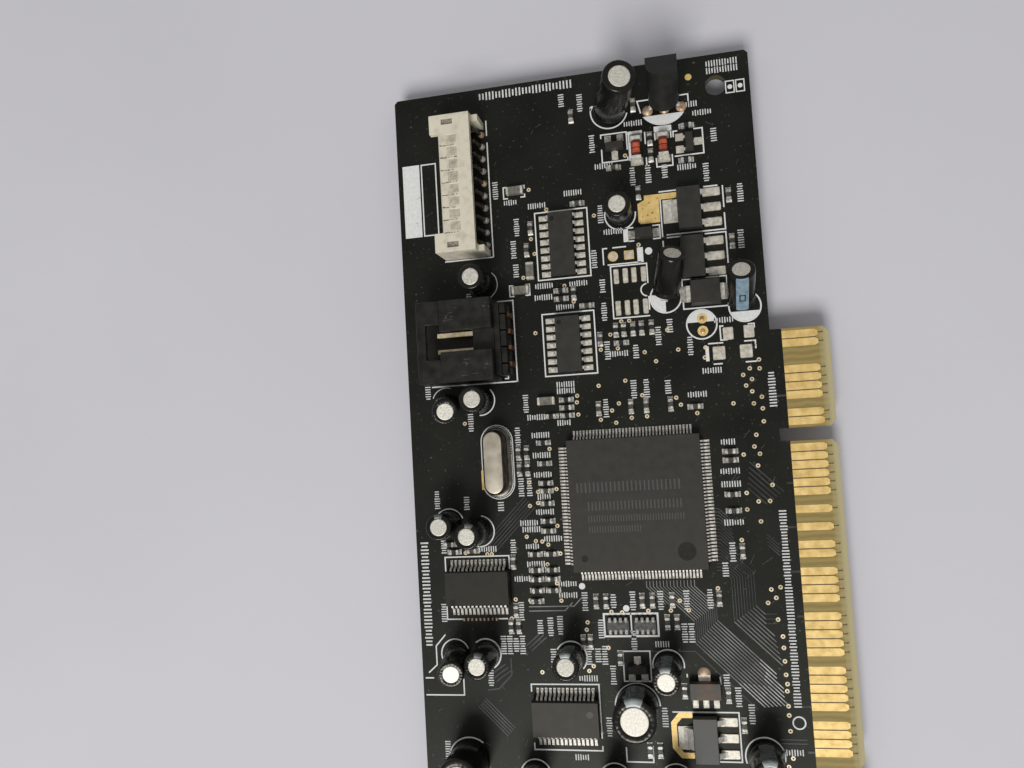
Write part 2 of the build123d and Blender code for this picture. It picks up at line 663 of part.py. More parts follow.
# White header: open towards the card's top edge, with its top wall set back between two cheeks
panel_length = (PANEL_PIN_COUNT - 1) * PANEL_PIN_PITCH + 2 * PANEL_HEADER_END
panel_front = TOP_EDGE + PANEL_HEADER_FRONT
panel_back = panel_front + PANEL_HEADER_DEPTH
panel_cavity_depth = PANEL_HEADER_DEPTH - PANEL_HEADER_BACK
panel_side = panel_length / 2 - PANEL_HEADER_WALL / 2
panel_window_x = panel_front + PANEL_HEADER_WINDOW_SETBACK + PANEL_HEADER_WINDOW_LENGTH / 2
panel_window_y = panel_length / 2 - PANEL_HEADER_WINDOW_FROM_END
with BuildPart() as panel_header:
    with BuildSketch():
        with Locations((panel_front + PANEL_HEADER_DEPTH / 2, PANEL_HEADER_Y)):
            Rectangle(PANEL_HEADER_DEPTH, panel_length)
    extrude(amount=PANEL_HEADER_HEIGHT)
    with BuildSketch(Plane.XY.offset(PANEL_HEADER_WALL)):
        with Locations((panel_front + panel_cavity_depth / 2, PANEL_HEADER_Y)):
            Rectangle(panel_cavity_depth, panel_length - 2 * PANEL_HEADER_WALL)
    extrude(amount=PANEL_HEADER_HEIGHT - 2 * PANEL_HEADER_WALL, mode=Mode.SUBTRACT)
    with BuildSketch(Plane.XY.offset(PANEL_HEADER_HEIGHT)):
        with Locations((panel_front + PANEL_HEADER_SETBACK / 2, PANEL_HEADER_Y)):
            Rectangle(PANEL_HEADER_SETBACK, panel_length - 2 * PANEL_HEADER_CHEEK)
        with Locations((panel_window_x, PANEL_HEADER_Y)):
            with Locations((0, panel_window_y), (0, -panel_window_y)):
                Rectangle(PANEL_HEADER_WINDOW_LENGTH, PANEL_HEADER_WINDOW_WIDTH)
    extrude(amount=-PANEL_HEADER_WALL, mode=Mode.SUBTRACT)
    with BuildSketch():
        with Locations((panel_back + PANEL_HEADER_EAR / 2, PANEL_HEADER_Y)):
            with Locations((0, panel_side), (0, -panel_side)):
                Rectangle(PANEL_HEADER_EAR, PANEL_HEADER_WALL)
    extrude(amount=PANEL_HEADER_EAR_HEIGHT)
save(panel_header, "panel_header")


def pin_rows(y, count, pitch):
    """One upright plane for each bent pin of a header, across the row."""
    return [Plane.XZ.offset(-(y + (i - (count - 1) / 2) * pitch)) for i in range(count)]


panel_tail = panel_back + PANEL_PIN_TAIL
with BuildPart() as panel_pins:
    with BuildSketch(*pin_rows(PANEL_HEADER_Y, PANEL_PIN_COUNT, PANEL_PIN_PITCH)):
        Polygon(
            (panel_back, PANEL_PIN_HEIGHT),
            (panel_tail + PANEL_PIN_WIDTH / 2, 0),
            (panel_tail - PANEL_PIN_WIDTH / 2, 0),
            (panel_back, PANEL_PIN_HEIGHT - 2 * PANEL_PIN_WIDTH),
            align=None,
        )
    extrude(amount=PANEL_PIN_WIDTH / 2, both=True)
save(panel_pins, "panel_header_tails")

panel_pin_length = panel_cavity_depth - PANEL_HEADER_SETBACK
with BuildPart() as panel_blades:
    with BuildSketch(*pin_rows(PANEL_HEADER_Y, PANEL_PIN_COUNT, PANEL_PIN_PITCH)):
        with Locations((panel_front + panel_cavity_depth - panel_pin_length / 2, PANEL_HEADER_HEIGHT / 2)):
            Rectangle(panel_pin_length, PANEL_PIN_WIDTH)
    extrude(amount=PANEL_PIN_WIDTH / 2, both=True)
save(panel_blades, "panel_header_pins")

# Black header: a shroud with a T-shaped window behind a bridge, open through to a lower ledge at the back
audio_length = (AUDIO_PIN_COUNT - 1) * AUDIO_PIN_PITCH + 2 * AUDIO_HEADER_END
audio_front = TOP_EDGE + AUDIO_HEADER_FRONT
audio_back = audio_front + AUDIO_HEADER_DEPTH
audio_cavity_depth = AUDIO_HEADER_DEPTH - AUDIO_HEADER_BACK
audio_window = audio_front + AUDIO_HEADER_BRIDGE
audio_cavity_end = audio_front + audio_cavity_depth
with BuildPart() as audio_header:
    with BuildSketch():
        with Locations((audio_front + AUDIO_HEADER_DEPTH / 2, AUDIO_HEADER_Y)):
            Rectangle(AUDIO_HEADER_DEPTH, audio_length)
    extrude(amount=AUDIO_HEADER_HEIGHT)
    with BuildSketch(Plane.XY.offset(AUDIO_HEADER_WALL)):
        with Locations((audio_front + audio_cavity_depth / 2, AUDIO_HEADER_Y)):
            Rectangle(audio_cavity_depth, audio_length - 2 * AUDIO_HEADER_WALL)
    extrude(amount=AUDIO_HEADER_HEIGHT - 2 * AUDIO_HEADER_WALL, mode=Mode.SUBTRACT)
    with BuildSketch(Plane.XY.offset(AUDIO_HEADER_HEIGHT)):
        with Locations((audio_window + AUDIO_HEADER_MOUTH_DEPTH / 2, AUDIO_HEADER_Y)):
            Rectangle(AUDIO_HEADER_MOUTH_DEPTH, AUDIO_HEADER_MOUTH_LENGTH)
        with Locations(((audio_window + audio_cavity_end) / 2, AUDIO_HEADER_Y)):
            Rectangle(audio_cavity_end - audio_window, AUDIO_HEADER_SLOT)
    extrude(amount=-AUDIO_HEADER_WALL, mode=Mode.SUBTRACT)
    with BuildSketch(Plane.XY.offset(AUDIO_HEADER_HEIGHT)):
        with Locations((audio_back - AUDIO_HEADER_BACK / 2, AUDIO_HEADER_Y)):
            Rectangle(AUDIO_HEADER_BACK, AUDIO_HEADER_SLOT)
    extrude(amount=AUDIO_HEADER_LEDGE_HEIGHT - AUDIO_HEADER_HEIGHT, mode=Mode.SUBTRACT)
    with BuildSketch():
        with Locations((audio_back + AUDIO_HEADER_LEDGE / 2, AUDIO_HEADER_Y)):
            Rectangle(AUDIO_HEADER_LEDGE, audio_length - 2 * AUDIO_HEADER_LEDGE_INSET)
    extrude(amount=AUDIO_HEADER_LEDGE_HEIGHT)
save(audio_header, "audio_header")

audio_tail = audio_back + AUDIO_HEADER_LEDGE + AUDIO_TAIL_THICKNESS / 2
with BuildPart() as audio_tails:
    with BuildSketch(*pin_rows(AUDIO_HEADER_Y, AUDIO_PIN_COUNT, AUDIO_PIN_PITCH)):
        with Locations((audio_tail, AUDIO_TAIL_HEIGHT / 2)):
            Rectangle(AUDIO_TAIL_THICKNESS, AUDIO_TAIL_HEIGHT)
    extrude(amount=AUDIO_PIN_WIDTH / 2, both=True)
save(audio_tails, "audio_header_tails")

audio_pin_length = audio_cavity_end - audio_window - AUDIO_PIN_SETBACK
with BuildPart() as audio_pins:
    with BuildSketch(*pin_rows(AUDIO_HEADER_Y, AUDIO_PIN_COUNT, AUDIO_PIN_PITCH)):
        with Locations((audio_cavity_end - audio_pin_length / 2, AUDIO_PIN_HEIGHT)):
            Rectangle(audio_pin_length, AUDIO_PIN_WIDTH)
    extrude(amount=AUDIO_PIN_WIDTH / 2, both=True)
save(audio_pins, "audio_header_pins")

# Resistor arrays and ferrite beads
with BuildPart() as resistor_arrays:
    with BuildSketch():
        with Locations(*ARRAY_PLACES):
            Rectangle(ARRAY_LENGTH, ARRAY_WIDTH)
    extrude(amount=ARRAY_HEIGHT)
save(resistor_arrays, "resistor_arrays")

with BuildPart() as ferrite_beads:
    with BuildSketch():
        with Locations(*[from_top(place) for place in BEADS_ACROSS_FROM_TOP]):
            Rectangle(BEAD_LENGTH, BEAD_WIDTH)
        with Locations(*BEADS_ALONG_PLACES):
            Rectangle(BEAD_WIDTH, BEAD_LENGTH)
    extrude(amount=BEAD_HEIGHT)
save(ferrite_beads, "ferrite_beads")

# Jacks: a moulded housing with a round nose and a plug bore
jack_face = -BRACKET_REACH
jack_mouth = jack_face - JACK_NOSE_LENGTH
jack_places = [JACK_MIDDLE_X + (i - (JACK_COUNT - 1) / 2) * JACK_PITCH for i in range(JACK_COUNT)]
for number, x in enumerate(jack_places, start=1):
    with BuildPart() as jack:
        with BuildSketch():
            with Locations((x, jack_face + JACK_DEPTH / 2)):
                Rectangle(JACK_WIDTH, JACK_DEPTH)
        extrude(amount=JACK_HEIGHT)
        with BuildSketch(Plane.XZ.offset(-jack_face)):
            with Locations((x, JACK_AXIS_HEIGHT)):
                Circle(JACK_NOSE_RADIUS)
        extrude(amount=JACK_NOSE_LENGTH)
        with BuildSketch(Plane.XZ.offset(-jack_mouth)):
            with Locations((x, JACK_AXIS_HEIGHT)):
                Circle(JACK_BORE_RADIUS)
        extrude(amount=-JACK_BORE_DEPTH, mode=Mode.SUBTRACT)
    save(jack, f"jack_{number}")

# Bracket: a folded steel panel with a flange, a tongue and two ears that the board is screwed to
panel_low = -BOARD_THICKNESS - BRACKET_BELOW_BOARD
panel_mid = panel_low + BRACKET_WIDTH / 2
tongue_tip = BRACKET_TONGUE_LENGTH
flange_x = tongue_tip - BRACKET_HEIGHT
ear_inner = jack_face + EAR_LENGTH
with BuildPart() as bracket:
    with BuildSketch(Plane.XZ.offset(-jack_face)) as panel_outline:
        with Locations((flange_x / 2, panel_mid)):
            Rectangle(-flange_x, BRACKET_WIDTH)
        with Locations((tongue_tip / 2, panel_mid)):
            Rectangle(tongue_tip, BRACKET_TONGUE_WIDTH)
        chamfer(panel_outline.vertices().group_by(Axis.X)[-1], BRACKET_TONGUE_CORNER)
        with Locations(*[(x, JACK_AXIS_HEIGHT) for x in jack_places]):
            Circle(JACK_NOSE_RADIUS + BRACKET_HOLE_CLEARANCE, mode=Mode.SUBTRACT)
        with Locations(*[(x, SHEET + EAR_LENGTH / 2) for x in ear_places]):
            Rectangle(EAR_WIDTH, EAR_LENGTH, mode=Mode.SUBTRACT)
    extrude(amount=SHEET)
    with BuildSketch():
        with Locations(*[(x, (jack_face - SHEET + ear_inner) / 2) for x in ear_places]):
            Rectangle(EAR_WIDTH, EAR_LENGTH + SHEET)
    extrude(amount=SHEET)
    with BuildSketch(Plane.YZ.offset(flange_x)):
        with Locations((jack_face - BRACKET_FLANGE / 2, panel_mid)):
            Rectangle(BRACKET_FLANGE, BRACKET_WIDTH)
        with Locations((jack_face - BRACKET_FLANGE / 2, panel_low + BRACKET_NOTCH_DEPTH / 2)):
            Rectangle(BRACKET_SCREW_NOTCH, BRACKET_NOTCH_DEPTH, mode=Mode.SUBTRACT)
    extrude(amount=SHEET)
save(bracket, "bracket")
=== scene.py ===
"""Looks of the sound card: materials, print, solder, small parts, floor, light and camera round the CAD frame.

Places and sizes are in millimetres in the CAD frame: X towards the edge connector, Y away from the bracket,
Z up from the component face. Angles are in degrees.
"""

import json
import math
import random

import bmesh
import bpy
from mathutils import Euler, Matrix, Vector


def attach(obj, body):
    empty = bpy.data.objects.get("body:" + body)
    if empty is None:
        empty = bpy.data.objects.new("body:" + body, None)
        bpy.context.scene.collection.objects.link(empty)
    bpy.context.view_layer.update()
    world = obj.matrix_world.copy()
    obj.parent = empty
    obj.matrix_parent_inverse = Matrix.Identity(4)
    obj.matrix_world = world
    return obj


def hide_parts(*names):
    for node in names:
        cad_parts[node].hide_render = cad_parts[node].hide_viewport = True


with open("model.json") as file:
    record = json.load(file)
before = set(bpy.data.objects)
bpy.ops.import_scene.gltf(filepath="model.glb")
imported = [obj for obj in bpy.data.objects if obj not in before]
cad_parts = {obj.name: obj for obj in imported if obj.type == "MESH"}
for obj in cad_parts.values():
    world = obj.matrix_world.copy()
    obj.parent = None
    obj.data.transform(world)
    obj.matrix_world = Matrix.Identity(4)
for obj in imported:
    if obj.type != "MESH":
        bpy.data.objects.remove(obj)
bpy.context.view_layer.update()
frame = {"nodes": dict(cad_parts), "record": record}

MM = 0.001
UP = Vector((0, 0, 1))
BOARD_BOTTOM = -1.57
TOP_EDGE, TAB_ROOT, MASK_EDGE = -64.4, -8.28, -6.65  # in X: the card's two long edges and the mask's edge on the tab
INK, COPPER, PAD = 0.03, 0.035, 0.05  # how thick print, traces and pads are
SHARP = 38  # edges above this angle stay sharp
WRINKLES = 22  # round a capacitor's sleeve
PAST = 1.0  # how far a cut reaches past the face that it opens


def on_circle(x, y, radius, angle):
    """Point on a circle about a centre."""
    return x + radius * math.cos(math.radians(angle)), y + radius * math.sin(math.radians(angle))


def at(x, y, z=0.0):
    """Matrix that moves to a place."""
    return Matrix.Translation(Vector((x, y, z)))


FLIP = Matrix.Rotation(math.pi, 4, "X")  # upside down
LIE = Matrix.Rotation(math.pi / 2, 4, "X")  # along Y


class Shape:
    """Closed solids gathered into one mesh."""

    def __init__(self):
        self.verts = []
        self.faces = []

    def loft(self, rings, closed=False):
        """Solid through rings of equal length: capped at both ends, or joined end to start."""
        base = len(self.verts)
        count = len(rings[0])
        for ring in rings:
            self.verts.extend(tuple(point) for point in ring)
        spans = len(rings) if closed else len(rings) - 1
        for r in range(spans):
            a = base + r * count
            b = base + (r + 1) % len(rings) * count
            for i in range(count):
                j = (i + 1) % count
                self.faces.append((a + i, a + j, b + j, b + i))
        if not closed:
            self.faces.append(tuple(range(base + count - 1, base - 1, -1)))
            self.faces.append(tuple(range(b, b + count)))

    def prism(self, outline, low, high):
        """Flat solid between two heights."""
        self.loft([[(x, y, z) for x, y in outline] for z in (low, high)])

    def box(self, x, y, z):
        """Plain box between three pairs of limits."""
        self.prism([(x[0], y[0]), (x[1], y[0]), (x[1], y[1]), (x[0], y[1])], *z)

    def plate(self, x, y, width, depth, low, high):
        """Flat rectangle about a centre."""
        w, d = width / 2, depth / 2
        self.box((x - w, x + w), (y - d, y + d), (low, high))

    def block(self, low, high, bevel):
        """Box between two corners with its edges chamfered."""
        rings = []
        for inset, z in ((bevel / 2, low[2]), (0, low[2] + bevel), (0, high[2] - bevel), (bevel / 2, high[2])):
            x0, y0, x1, y1 = low[0] + inset, low[1] + inset, high[0] - inset, high[1] - inset
            outline = [
                (x0 + bevel, y0), (x1 - bevel, y0), (x1, y0 + bevel), (x1, y1 - bevel),
                (x1 - bevel, y1), (x0 + bevel, y1), (x0, y1 - bevel), (x0, y0 + bevel),
            ]
            rings.append([(x, y, z) for x, y in outline])
        self.loft(rings)

    def pad(self, x, y, width, depth, height, bevel):
        """Chamfered block on the component face, about a centre."""
        w, d = width / 2, depth / 2
        self.block((x - w, y - d, 0), (x + w, y + d, height), bevel)

    def ribbon(self, points, width, low, high, closed=False):
        """Flat strip of even width along a path."""
        rings = []
        count = len(points)
        for i, point in enumerate(points):
            here = Vector(point)
            before = Vector(points[i - 1]) if i or closed else None
            after = Vector(points[(i + 1) % count]) if i + 1 < count or closed else None
            into = (here - before).normalized() if before is not None else (after - here).normalized()
            out = (after - here).normalized() if after is not None else into
            mitre = (into + out).normalized()
            side = Vector((-mitre.y, mitre.x)) * (width / 2 / max(0.5, mitre.dot(out)))
            left, right = here + side, here - side
            rings.append([(*left, low), (*left, high), (*right, high), (*right, low)])
        self.loft(rings, closed)

    def arc(self, x, y, radius, width, start, end, low, high, steps=40):
        """Flat ring, or part of one, about a centre."""
        full = end - start >= 360
        span = steps if full else steps + 1
        points = [on_circle(x, y, radius, start + (end - start) * i / steps) for i in range(span)]
        self.ribbon(points, width, low, high, full)

    def disc(self, x, y, radius, low, high, steps=20):
        """Flat disc."""
        self.prism([on_circle(x, y, radius, 360 * i / steps) for i in range(steps)], low, high)

    def lathe(self, place, profile, steps=40):
        """Solid of revolution: profile holds radius, height and, where it has one, the depth of its wrinkles."""
        turns = [2 * math.pi * i / steps for i in range(steps)]
        rings = []
        for radius, height, *ripple in profile:
            ring = []
            for t in turns:
                sink = ripple[0] * (0.5 + 0.3 * math.sin(WRINKLES * t) + 0.2 * math.sin(5 * t + 1)) if ripple else 0
                ring.append(place @ Vector((radius * math.cos(t), radius * math.sin(t), height - sink)))
            rings.append(ring)
        self.loft(rings)

    def rod(self, start, end, radius, steps=10):
        """Straight round wire between two points."""
        turn = UP.rotation_difference((end - start).normalized()).to_matrix()
        ring = [turn @ Vector((*on_circle(0, 0, radius, 360 * i / steps), 0)) for i in range(steps)]
        self.loft([[centre + spoke for spoke in ring] for centre in (start, end)])


def shapes(count):
    """Several empty shapes."""
    return [Shape() for _ in range(count)]


def show(name, data):
    """New object in the scene."""
    thing = bpy.data.objects.new(name, data)
    bpy.context.scene.collection.objects.link(thing)
    return thing


def mesh_of(name, shape, look):
    """Mesh of a shape, in metres, with its normals turned outwards."""
    mesh = bpy.data.meshes.new(name)
    mesh.from_pydata([(x * MM, y * MM, z * MM) for x, y, z in shape.verts], [], shape.faces)
    work = bmesh.new()
    work.from_mesh(mesh)
    bmesh.ops.recalc_face_normals(work, faces=work.faces)
    work.to_mesh(mesh)
    work.free()
    mesh.materials.append(look)
    return mesh


def piece(name, shape, slot, look=None, stands_for=(), cuts=None, bevel=0.0):
    """Turn a shape, less its cuts, into a piece of the card that rides on its one body."""
    look = LOOKS[look or slot]
    thing = show(name, mesh_of(name, shape, look))
    if cuts:
        tool = show("cuts", mesh_of("cuts", cuts, look))
        carve = thing.modifiers.new("carve", "BOOLEAN")
        carve.operation = "DIFFERENCE"
        carve.solver = "EXACT"
        carve.use_self = True
        carve.object = tool
        soften = thing.modifiers.new("soften", "BEVEL")
        soften.width = bevel * MM
        soften.segments = 1
        soften.limit_method = "ANGLE"
        soften.angle_limit = math.radians(SHARP)
        result = bpy.data.meshes.new_from_object(thing.evaluated_get(bpy.context.evaluated_depsgraph_get()))
        thing.modifiers.clear()
        thing.data = result
        bpy.data.objects.remove(tool)
    mesh = thing.data
    mesh.polygons.foreach_set("use_smooth", [True] * len(mesh.polygons))
    mesh.set_sharp_from_angle(angle=math.radians(SHARP))
    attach(thing, "root")
    if stands_for:
        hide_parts(*stands_for)


# Materials
LOOKS = {}


def feed(node, **inputs):
    """Set or link a shader node's inputs; an underscore in a name stands for a space."""
    for name, value in inputs.items():
        socket = node.inputs[name.replace("_", " ")]
        if isinstance(value, bpy.types.NodeSocket):
            node.id_data.links.new(value, socket)
        else:
            socket.default_value = value


def add(tree, kind, output, settings=(), **inputs):
    """One of the outputs of a new shader node."""
    node = tree.nodes.new("ShaderNode" + kind)
    for setting, value in settings:
        setattr(node, setting, value)
    feed(node, **inputs)
    return node.outputs[output]


def ramp(tree, source, *stops):
    """Colour ramp through two stops, each a position and a colour."""
    output = add(tree, "ValToRGB", "Color", Fac=source)
    for element, (position, colour) in zip(output.node.color_ramp.elements, stops):
        element.position = position
        element.color = (*colour, 1)
    return output


def mix(tree, factor, first, second):
    """Mix of two colours."""
    return add(tree, "Mix", "Result", [("data_type", "RGBA")], Factor=factor, A=first, B=second)


def compare(tree, operation, value, limit=0.0):
    """Result of a sum on one value and a limit."""
    output = add(tree, "Math", "Value", [("operation", operation)], Value=value)
    output.node.inputs[1].default_value = limit
    return output


def surface(name, dark, light, rough, metallic=0.0, spot=1.5, grain=0.12, bump=0.15, spread=(0.32, 0.7), **sockets):
    """New look whose colour and gloss vary in spots, with a fine grain."""
    look = LOOKS[name] = bpy.data.materials.new(name)
    look.use_nodes = True
    tree = look.node_tree
    place = add(tree, "TexCoord", "Object")
    patches = add(tree, "TexNoise", "Fac", Vector=place, Scale=1 / (spot * MM), Detail=5)
    fine = add(tree, "TexNoise", "Fac", Vector=place, Scale=1 / (grain * MM), Detail=3)
    gloss = {"From_Min": 0.3, "From_Max": 0.7, "To_Min": rough[0], "To_Max": rough[1]}
    feed(
        tree.nodes["Principled BSDF"],
        Base_Color=ramp(tree, patches, (spread[0], dark), (spread[1], light)),
        Metallic=metallic,
        Roughness=add(tree, "MapRange", "Result", Value=patches, **gloss),
        Normal=add(tree, "Bump", "Normal", Strength=bump, Distance=grain * MM / 2, Height=fine),
        **sockets,
    )
    return look


def sheen(level, tint=(1.0, 0.96, 0.84, 1.0)):
    """Sockets for a weak, warm reflection."""
    return {"Specular_IOR_Level": level, "Specular_Tint": tint}


MASK_SHEEN = (0.95, 1.0, 0.85, 1.0)


def board_surface():
    """Black solder mask with dust; bare woven laminate on the tab, which pales to its rim, and on the cut edges."""
    look = surface(
        "solder_mask", (0.0046, 0.0043, 0.0035), (0.0092, 0.0087, 0.0074), (0.37, 0.49), spot=9, bump=0.08,
        **sheen(0.26, MASK_SHEEN),
    )
    tree = look.node_tree
    shader, place = tree.nodes["Principled BSDF"], tree.nodes["Texture Coordinate"].outputs
    tone = shader.inputs["Base Color"].links[0].from_socket
    dust = add(tree, "TexNoise", "Fac", Vector=place["Object"], Scale=1 / (0.55 * MM), Detail=2)
    specks = add(tree, "MapRange", "Result", Value=dust, From_Min=0.66, From_Max=0.78, To_Max=0.7)
    mask = mix(tree, specks, tone, (0.13, 0.125, 0.11, 1))
    weave = {"Scale": 320, "Distortion": 2.5, "Detail": 3}
    woven = add(tree, "TexWave", "Fac", [("bands_direction", "Y")], Vector=place["Object"], **weave)
    laminate = ramp(tree, woven, (0, (0.25, 0.185, 0.062)), (1, (0.32, 0.24, 0.088)))
    reach = add(tree, "SeparateXYZ", "X", Vector=place["Object"])
    rim = add(tree, "MapRange", "Result", Value=reach, From_Min=-1.7 * MM, From_Max=-0.5 * MM)
    bare = compare(tree, "GREATER_THAN", reach, MASK_EDGE * MM)
    faces = mix(tree, bare, mask, mix(tree, rim, laminate, (0.46, 0.40, 0.22, 1)))
    steep = compare(tree, "ABSOLUTE", add(tree, "SeparateXYZ", "Z", Vector=place["Normal"]))
    cut = compare(tree, "LESS_THAN", steep, 0.5)
    feed(shader, Base_Color=mix(tree, cut, faces, (0.10, 0.085, 0.05, 1)))


# Looks of the record's slots, then those of single pieces: dark and light colour, range of roughness, and, where they
# aren't the usual ones, metal, size of spots and grain, and bump
board_surface()
surface("gold_plate", (0.74, 0.50, 0.165), (0.94, 0.68, 0.27), (0.3, 0.48), 0.35, 1.2, 0.2, 0.2)
surface("tin_plate", (0.50, 0.475, 0.42), (0.80, 0.77, 0.70), (0.44, 0.6), 0.4, 0.5, 0.15, 0.25)
surface("mould_compound", (0.019, 0.0187, 0.016), (0.029, 0.0285, 0.0242), (0.48, 0.6), grain=0.09, **sheen(0.42))
surface("brown_compound", (0.045, 0.041, 0.032), (0.13, 0.066, 0.028), (0.4, 0.55), spot=3.4, spread=(0.5, 0.68))
surface("red_glass", (0.30, 0.045, 0.02), (0.62, 0.135, 0.06), (0.06, 0.14), spot=0.8, bump=0.02)
surface(
    "capacitor_sleeve", (0.005, 0.005, 0.0045), (0.010, 0.010, 0.009), (0.17, 0.3), spot=3, bump=0.06, **sheen(0.34)
)
surface("can_steel", (0.44, 0.39, 0.30), (0.60, 0.54, 0.43), (0.34, 0.5), 0.5, 1.8, 0.1, 0.15)
surface("white_nylon", (0.50, 0.455, 0.35), (0.66, 0.61, 0.48), (0.42, 0.55), spot=1.4, spread=(0.26, 0.52))
surface("black_nylon", (0.005, 0.005, 0.0045), (0.016, 0.016, 0.0142), (0.34, 0.55), spot=1.6, **sheen(0.34))
surface("resistor_coat", (0.010, 0.010, 0.009), (0.022, 0.021, 0.019), (0.3, 0.45), spot=0.6)
surface("ferrite", (0.10, 0.095, 0.08), (0.21, 0.20, 0.165), (0.45, 0.6), spot=0.5)
surface("pink_plastic", (0.62, 0.17, 0.24), (0.70, 0.21, 0.29), (0.3, 0.42), spot=4)
surface("blue_plastic", (0.05, 0.20, 0.52), (0.07, 0.24, 0.60), (0.3, 0.42), spot=4)
surface("green_plastic", (0.09, 0.40, 0.08), (0.12, 0.47, 0.11), (0.3, 0.42), spot=4)
surface("bracket_steel", (0.52, 0.52, 0.51), (0.66, 0.66, 0.64), (0.28, 0.42), 0.8, 6, 0.25, 0.12)
surface("print_white", (0.68, 0.68, 0.65), (0.78, 0.78, 0.75), (0.5, 0.65), spot=0.5, grain=0.08)
surface("print_worn", (0.52, 0.52, 0.495), (0.76, 0.76, 0.73), (0.5, 0.65), spot=0.45, grain=0.08)
surface("masked_copper", (0.022, 0.022, 0.020), (0.062, 0.061, 0.057), (0.28, 0.4), spot=3)
# Lighter copies of the copper under the mask: painted reflection where the lines catch the lamp
surface("masked_copper_painted_shine", (0.34, 0.335, 0.32), (0.68, 0.67, 0.645), (0.28, 0.4), spot=2)
surface("masked_copper_painted_half_shine", (0.11, 0.11, 0.104), (0.29, 0.287, 0.275), (0.28, 0.4), spot=4)
surface("can_top", (0.50, 0.47, 0.39), (0.82, 0.79, 0.70), (0.36, 0.55), 0.35, 0.22, 0.12, 0.45)
# The stripe's grey in two copies: a dark one for a can's side as painted shade, and a lighter one for its shoulder as a
# painted highlight; patches take the dark copy
surface("sleeve_stripe", (0.075, 0.088, 0.083), (0.13, 0.148, 0.14), (0.22, 0.36), spot=0.7)
surface("sleeve_stripe_painted_highlight", (0.24, 0.27, 0.258), (0.42, 0.46, 0.44), (0.22, 0.36), spot=0.6)
surface("sleeve_stripe_blue", (0.13, 0.20, 0.245), (0.24, 0.335, 0.39), (0.25, 0.4), spot=0.8)
surface("chip_ceramic", (0.030, 0.025, 0.020), (0.085, 0.072, 0.056), (0.35, 0.5), spot=0.4)
surface("chip_end", (0.26, 0.25, 0.22), (0.80, 0.77, 0.69), (0.28, 0.5), 0.45, 0.35, 0.1, 0.5)
surface("solder", (0.34, 0.32, 0.27), (0.66, 0.63, 0.55), (0.26, 0.45), 0.6, 0.5, 0.15, 0.3)
surface("tinned_pad", (0.50, 0.46, 0.36), (0.78, 0.74, 0.64), (0.3, 0.48), 0.35, 0.6, 0.15, 0.3)
surface("tarnished_pin", (0.07, 0.035, 0.016), (0.32, 0.17, 0.09), (0.3, 0.5), 0.6, 0.7, 0.1, 0.3)
# Dark laminate between the gold fingers: painted shade in the gaps
surface("contact_gap", (0.085, 0.058, 0.02), (0.15, 0.105, 0.04), (0.5, 0.65), spot=0.6)
surface("via_ring", (0.62, 0.49, 0.28), (0.88, 0.77, 0.56), (0.3, 0.45), 0.35, 0.8, 0.12, 0.2)
surface("dull_pin", (0.035, 0.03, 0.025), (0.16, 0.13, 0.10), (0.3, 0.5), 0.6, 0.7, 0.1, 0.2)
surface("mask_scratch", (0.035, 0.034, 0.031), (0.13, 0.126, 0.115), (0.5, 0.65), spot=1.5)
# Stained nylon and grimy marks for the white header, which also hold painted shade in its pockets, windows and seams
surface("stained_and_shaded_nylon", (0.33, 0.305, 0.23), (0.55, 0.51, 0.395), (0.45, 0.6), spot=0.7)
surface("grime_and_painted_shade", (0.10, 0.09, 0.068), (0.33, 0.30, 0.23), (0.5, 0.65), spot=0.35)
surface("copper_solder", (0.34, 0.20, 0.11), (0.70, 0.54, 0.38), (0.26, 0.42), 0.45, 0.7, 0.12, 0.3)
surface("glass_end", (0.05, 0.012, 0.007), (0.14, 0.022, 0.012), (0.08, 0.16), spot=0.5, bump=0.02)
surface("black_mould", (0.008, 0.008, 0.007), (0.015, 0.0145, 0.013), (0.36, 0.5), spot=1.4)
# Steel for the crystal's side and flange, painted darker than the can as painted shade and painted reflection of the
# dark board
surface("side_steel_painted_shade", (0.045, 0.039, 0.03), (0.12, 0.106, 0.085), (0.3, 0.45), 0.85, 1.0, 0.1, 0.2)
surface("flange_steel_painted_reflection", (0.10, 0.088, 0.068), (0.24, 0.215, 0.175), (0.3, 0.45), 0.85, 1.0, 0.1, 0.2)
# Lower regulator's mould, painted lighter than the other packages as a painted sheen
surface("mould_painted_sheen", (0.05, 0.049, 0.042), (0.075, 0.073, 0.063), (0.44, 0.56), grain=0.09)
surface("array_coat", (0.03, 0.03, 0.027), (0.085, 0.083, 0.075), (0.3, 0.45), spot=0.5)
surface("array_end", (0.17, 0.16, 0.14), (0.44, 0.42, 0.37), (0.3, 0.5), 0.45, 0.4, 0.1, 0.4)
surface("mould_dimple", (0.006, 0.006, 0.005), (0.012, 0.012, 0.010), (0.4, 0.5), spot=0.6, **sheen(0.3))
surface(
    "dark_mould", (0.010, 0.0098, 0.0076), (0.018, 0.0177, 0.0138), (0.48, 0.6), grain=0.09, **sheen(0.36)
)
surface("faded_mark", (0.046, 0.046, 0.042), (0.07, 0.07, 0.065), (0.5, 0.6), spot=0.5)

# The lower regulator gets the mould with painted sheen
OWN_LOOKS = {
    "audio_header_tails": "tarnished_pin", "panel_header_tails": "dull_pin", "audio_header_pins": "via_ring",
    "round_transistor": "black_mould", "converter_body": "dark_mould", "lower_regulator_body": "mould_painted_sheen",
    "resistor_arrays": "array_coat", "signal_diode_terminals": "array_end",
    "driver_leads": "tinned_pad", "transistor_leads": "tinned_pad",
}
for part in frame["record"]["subparts"]:
    node = frame["nodes"][part["node"]]
    node.data.materials.clear()
    node.data.materials.append(LOOKS[OWN_LOOKS.get(part["node"], part["material_slot"])])

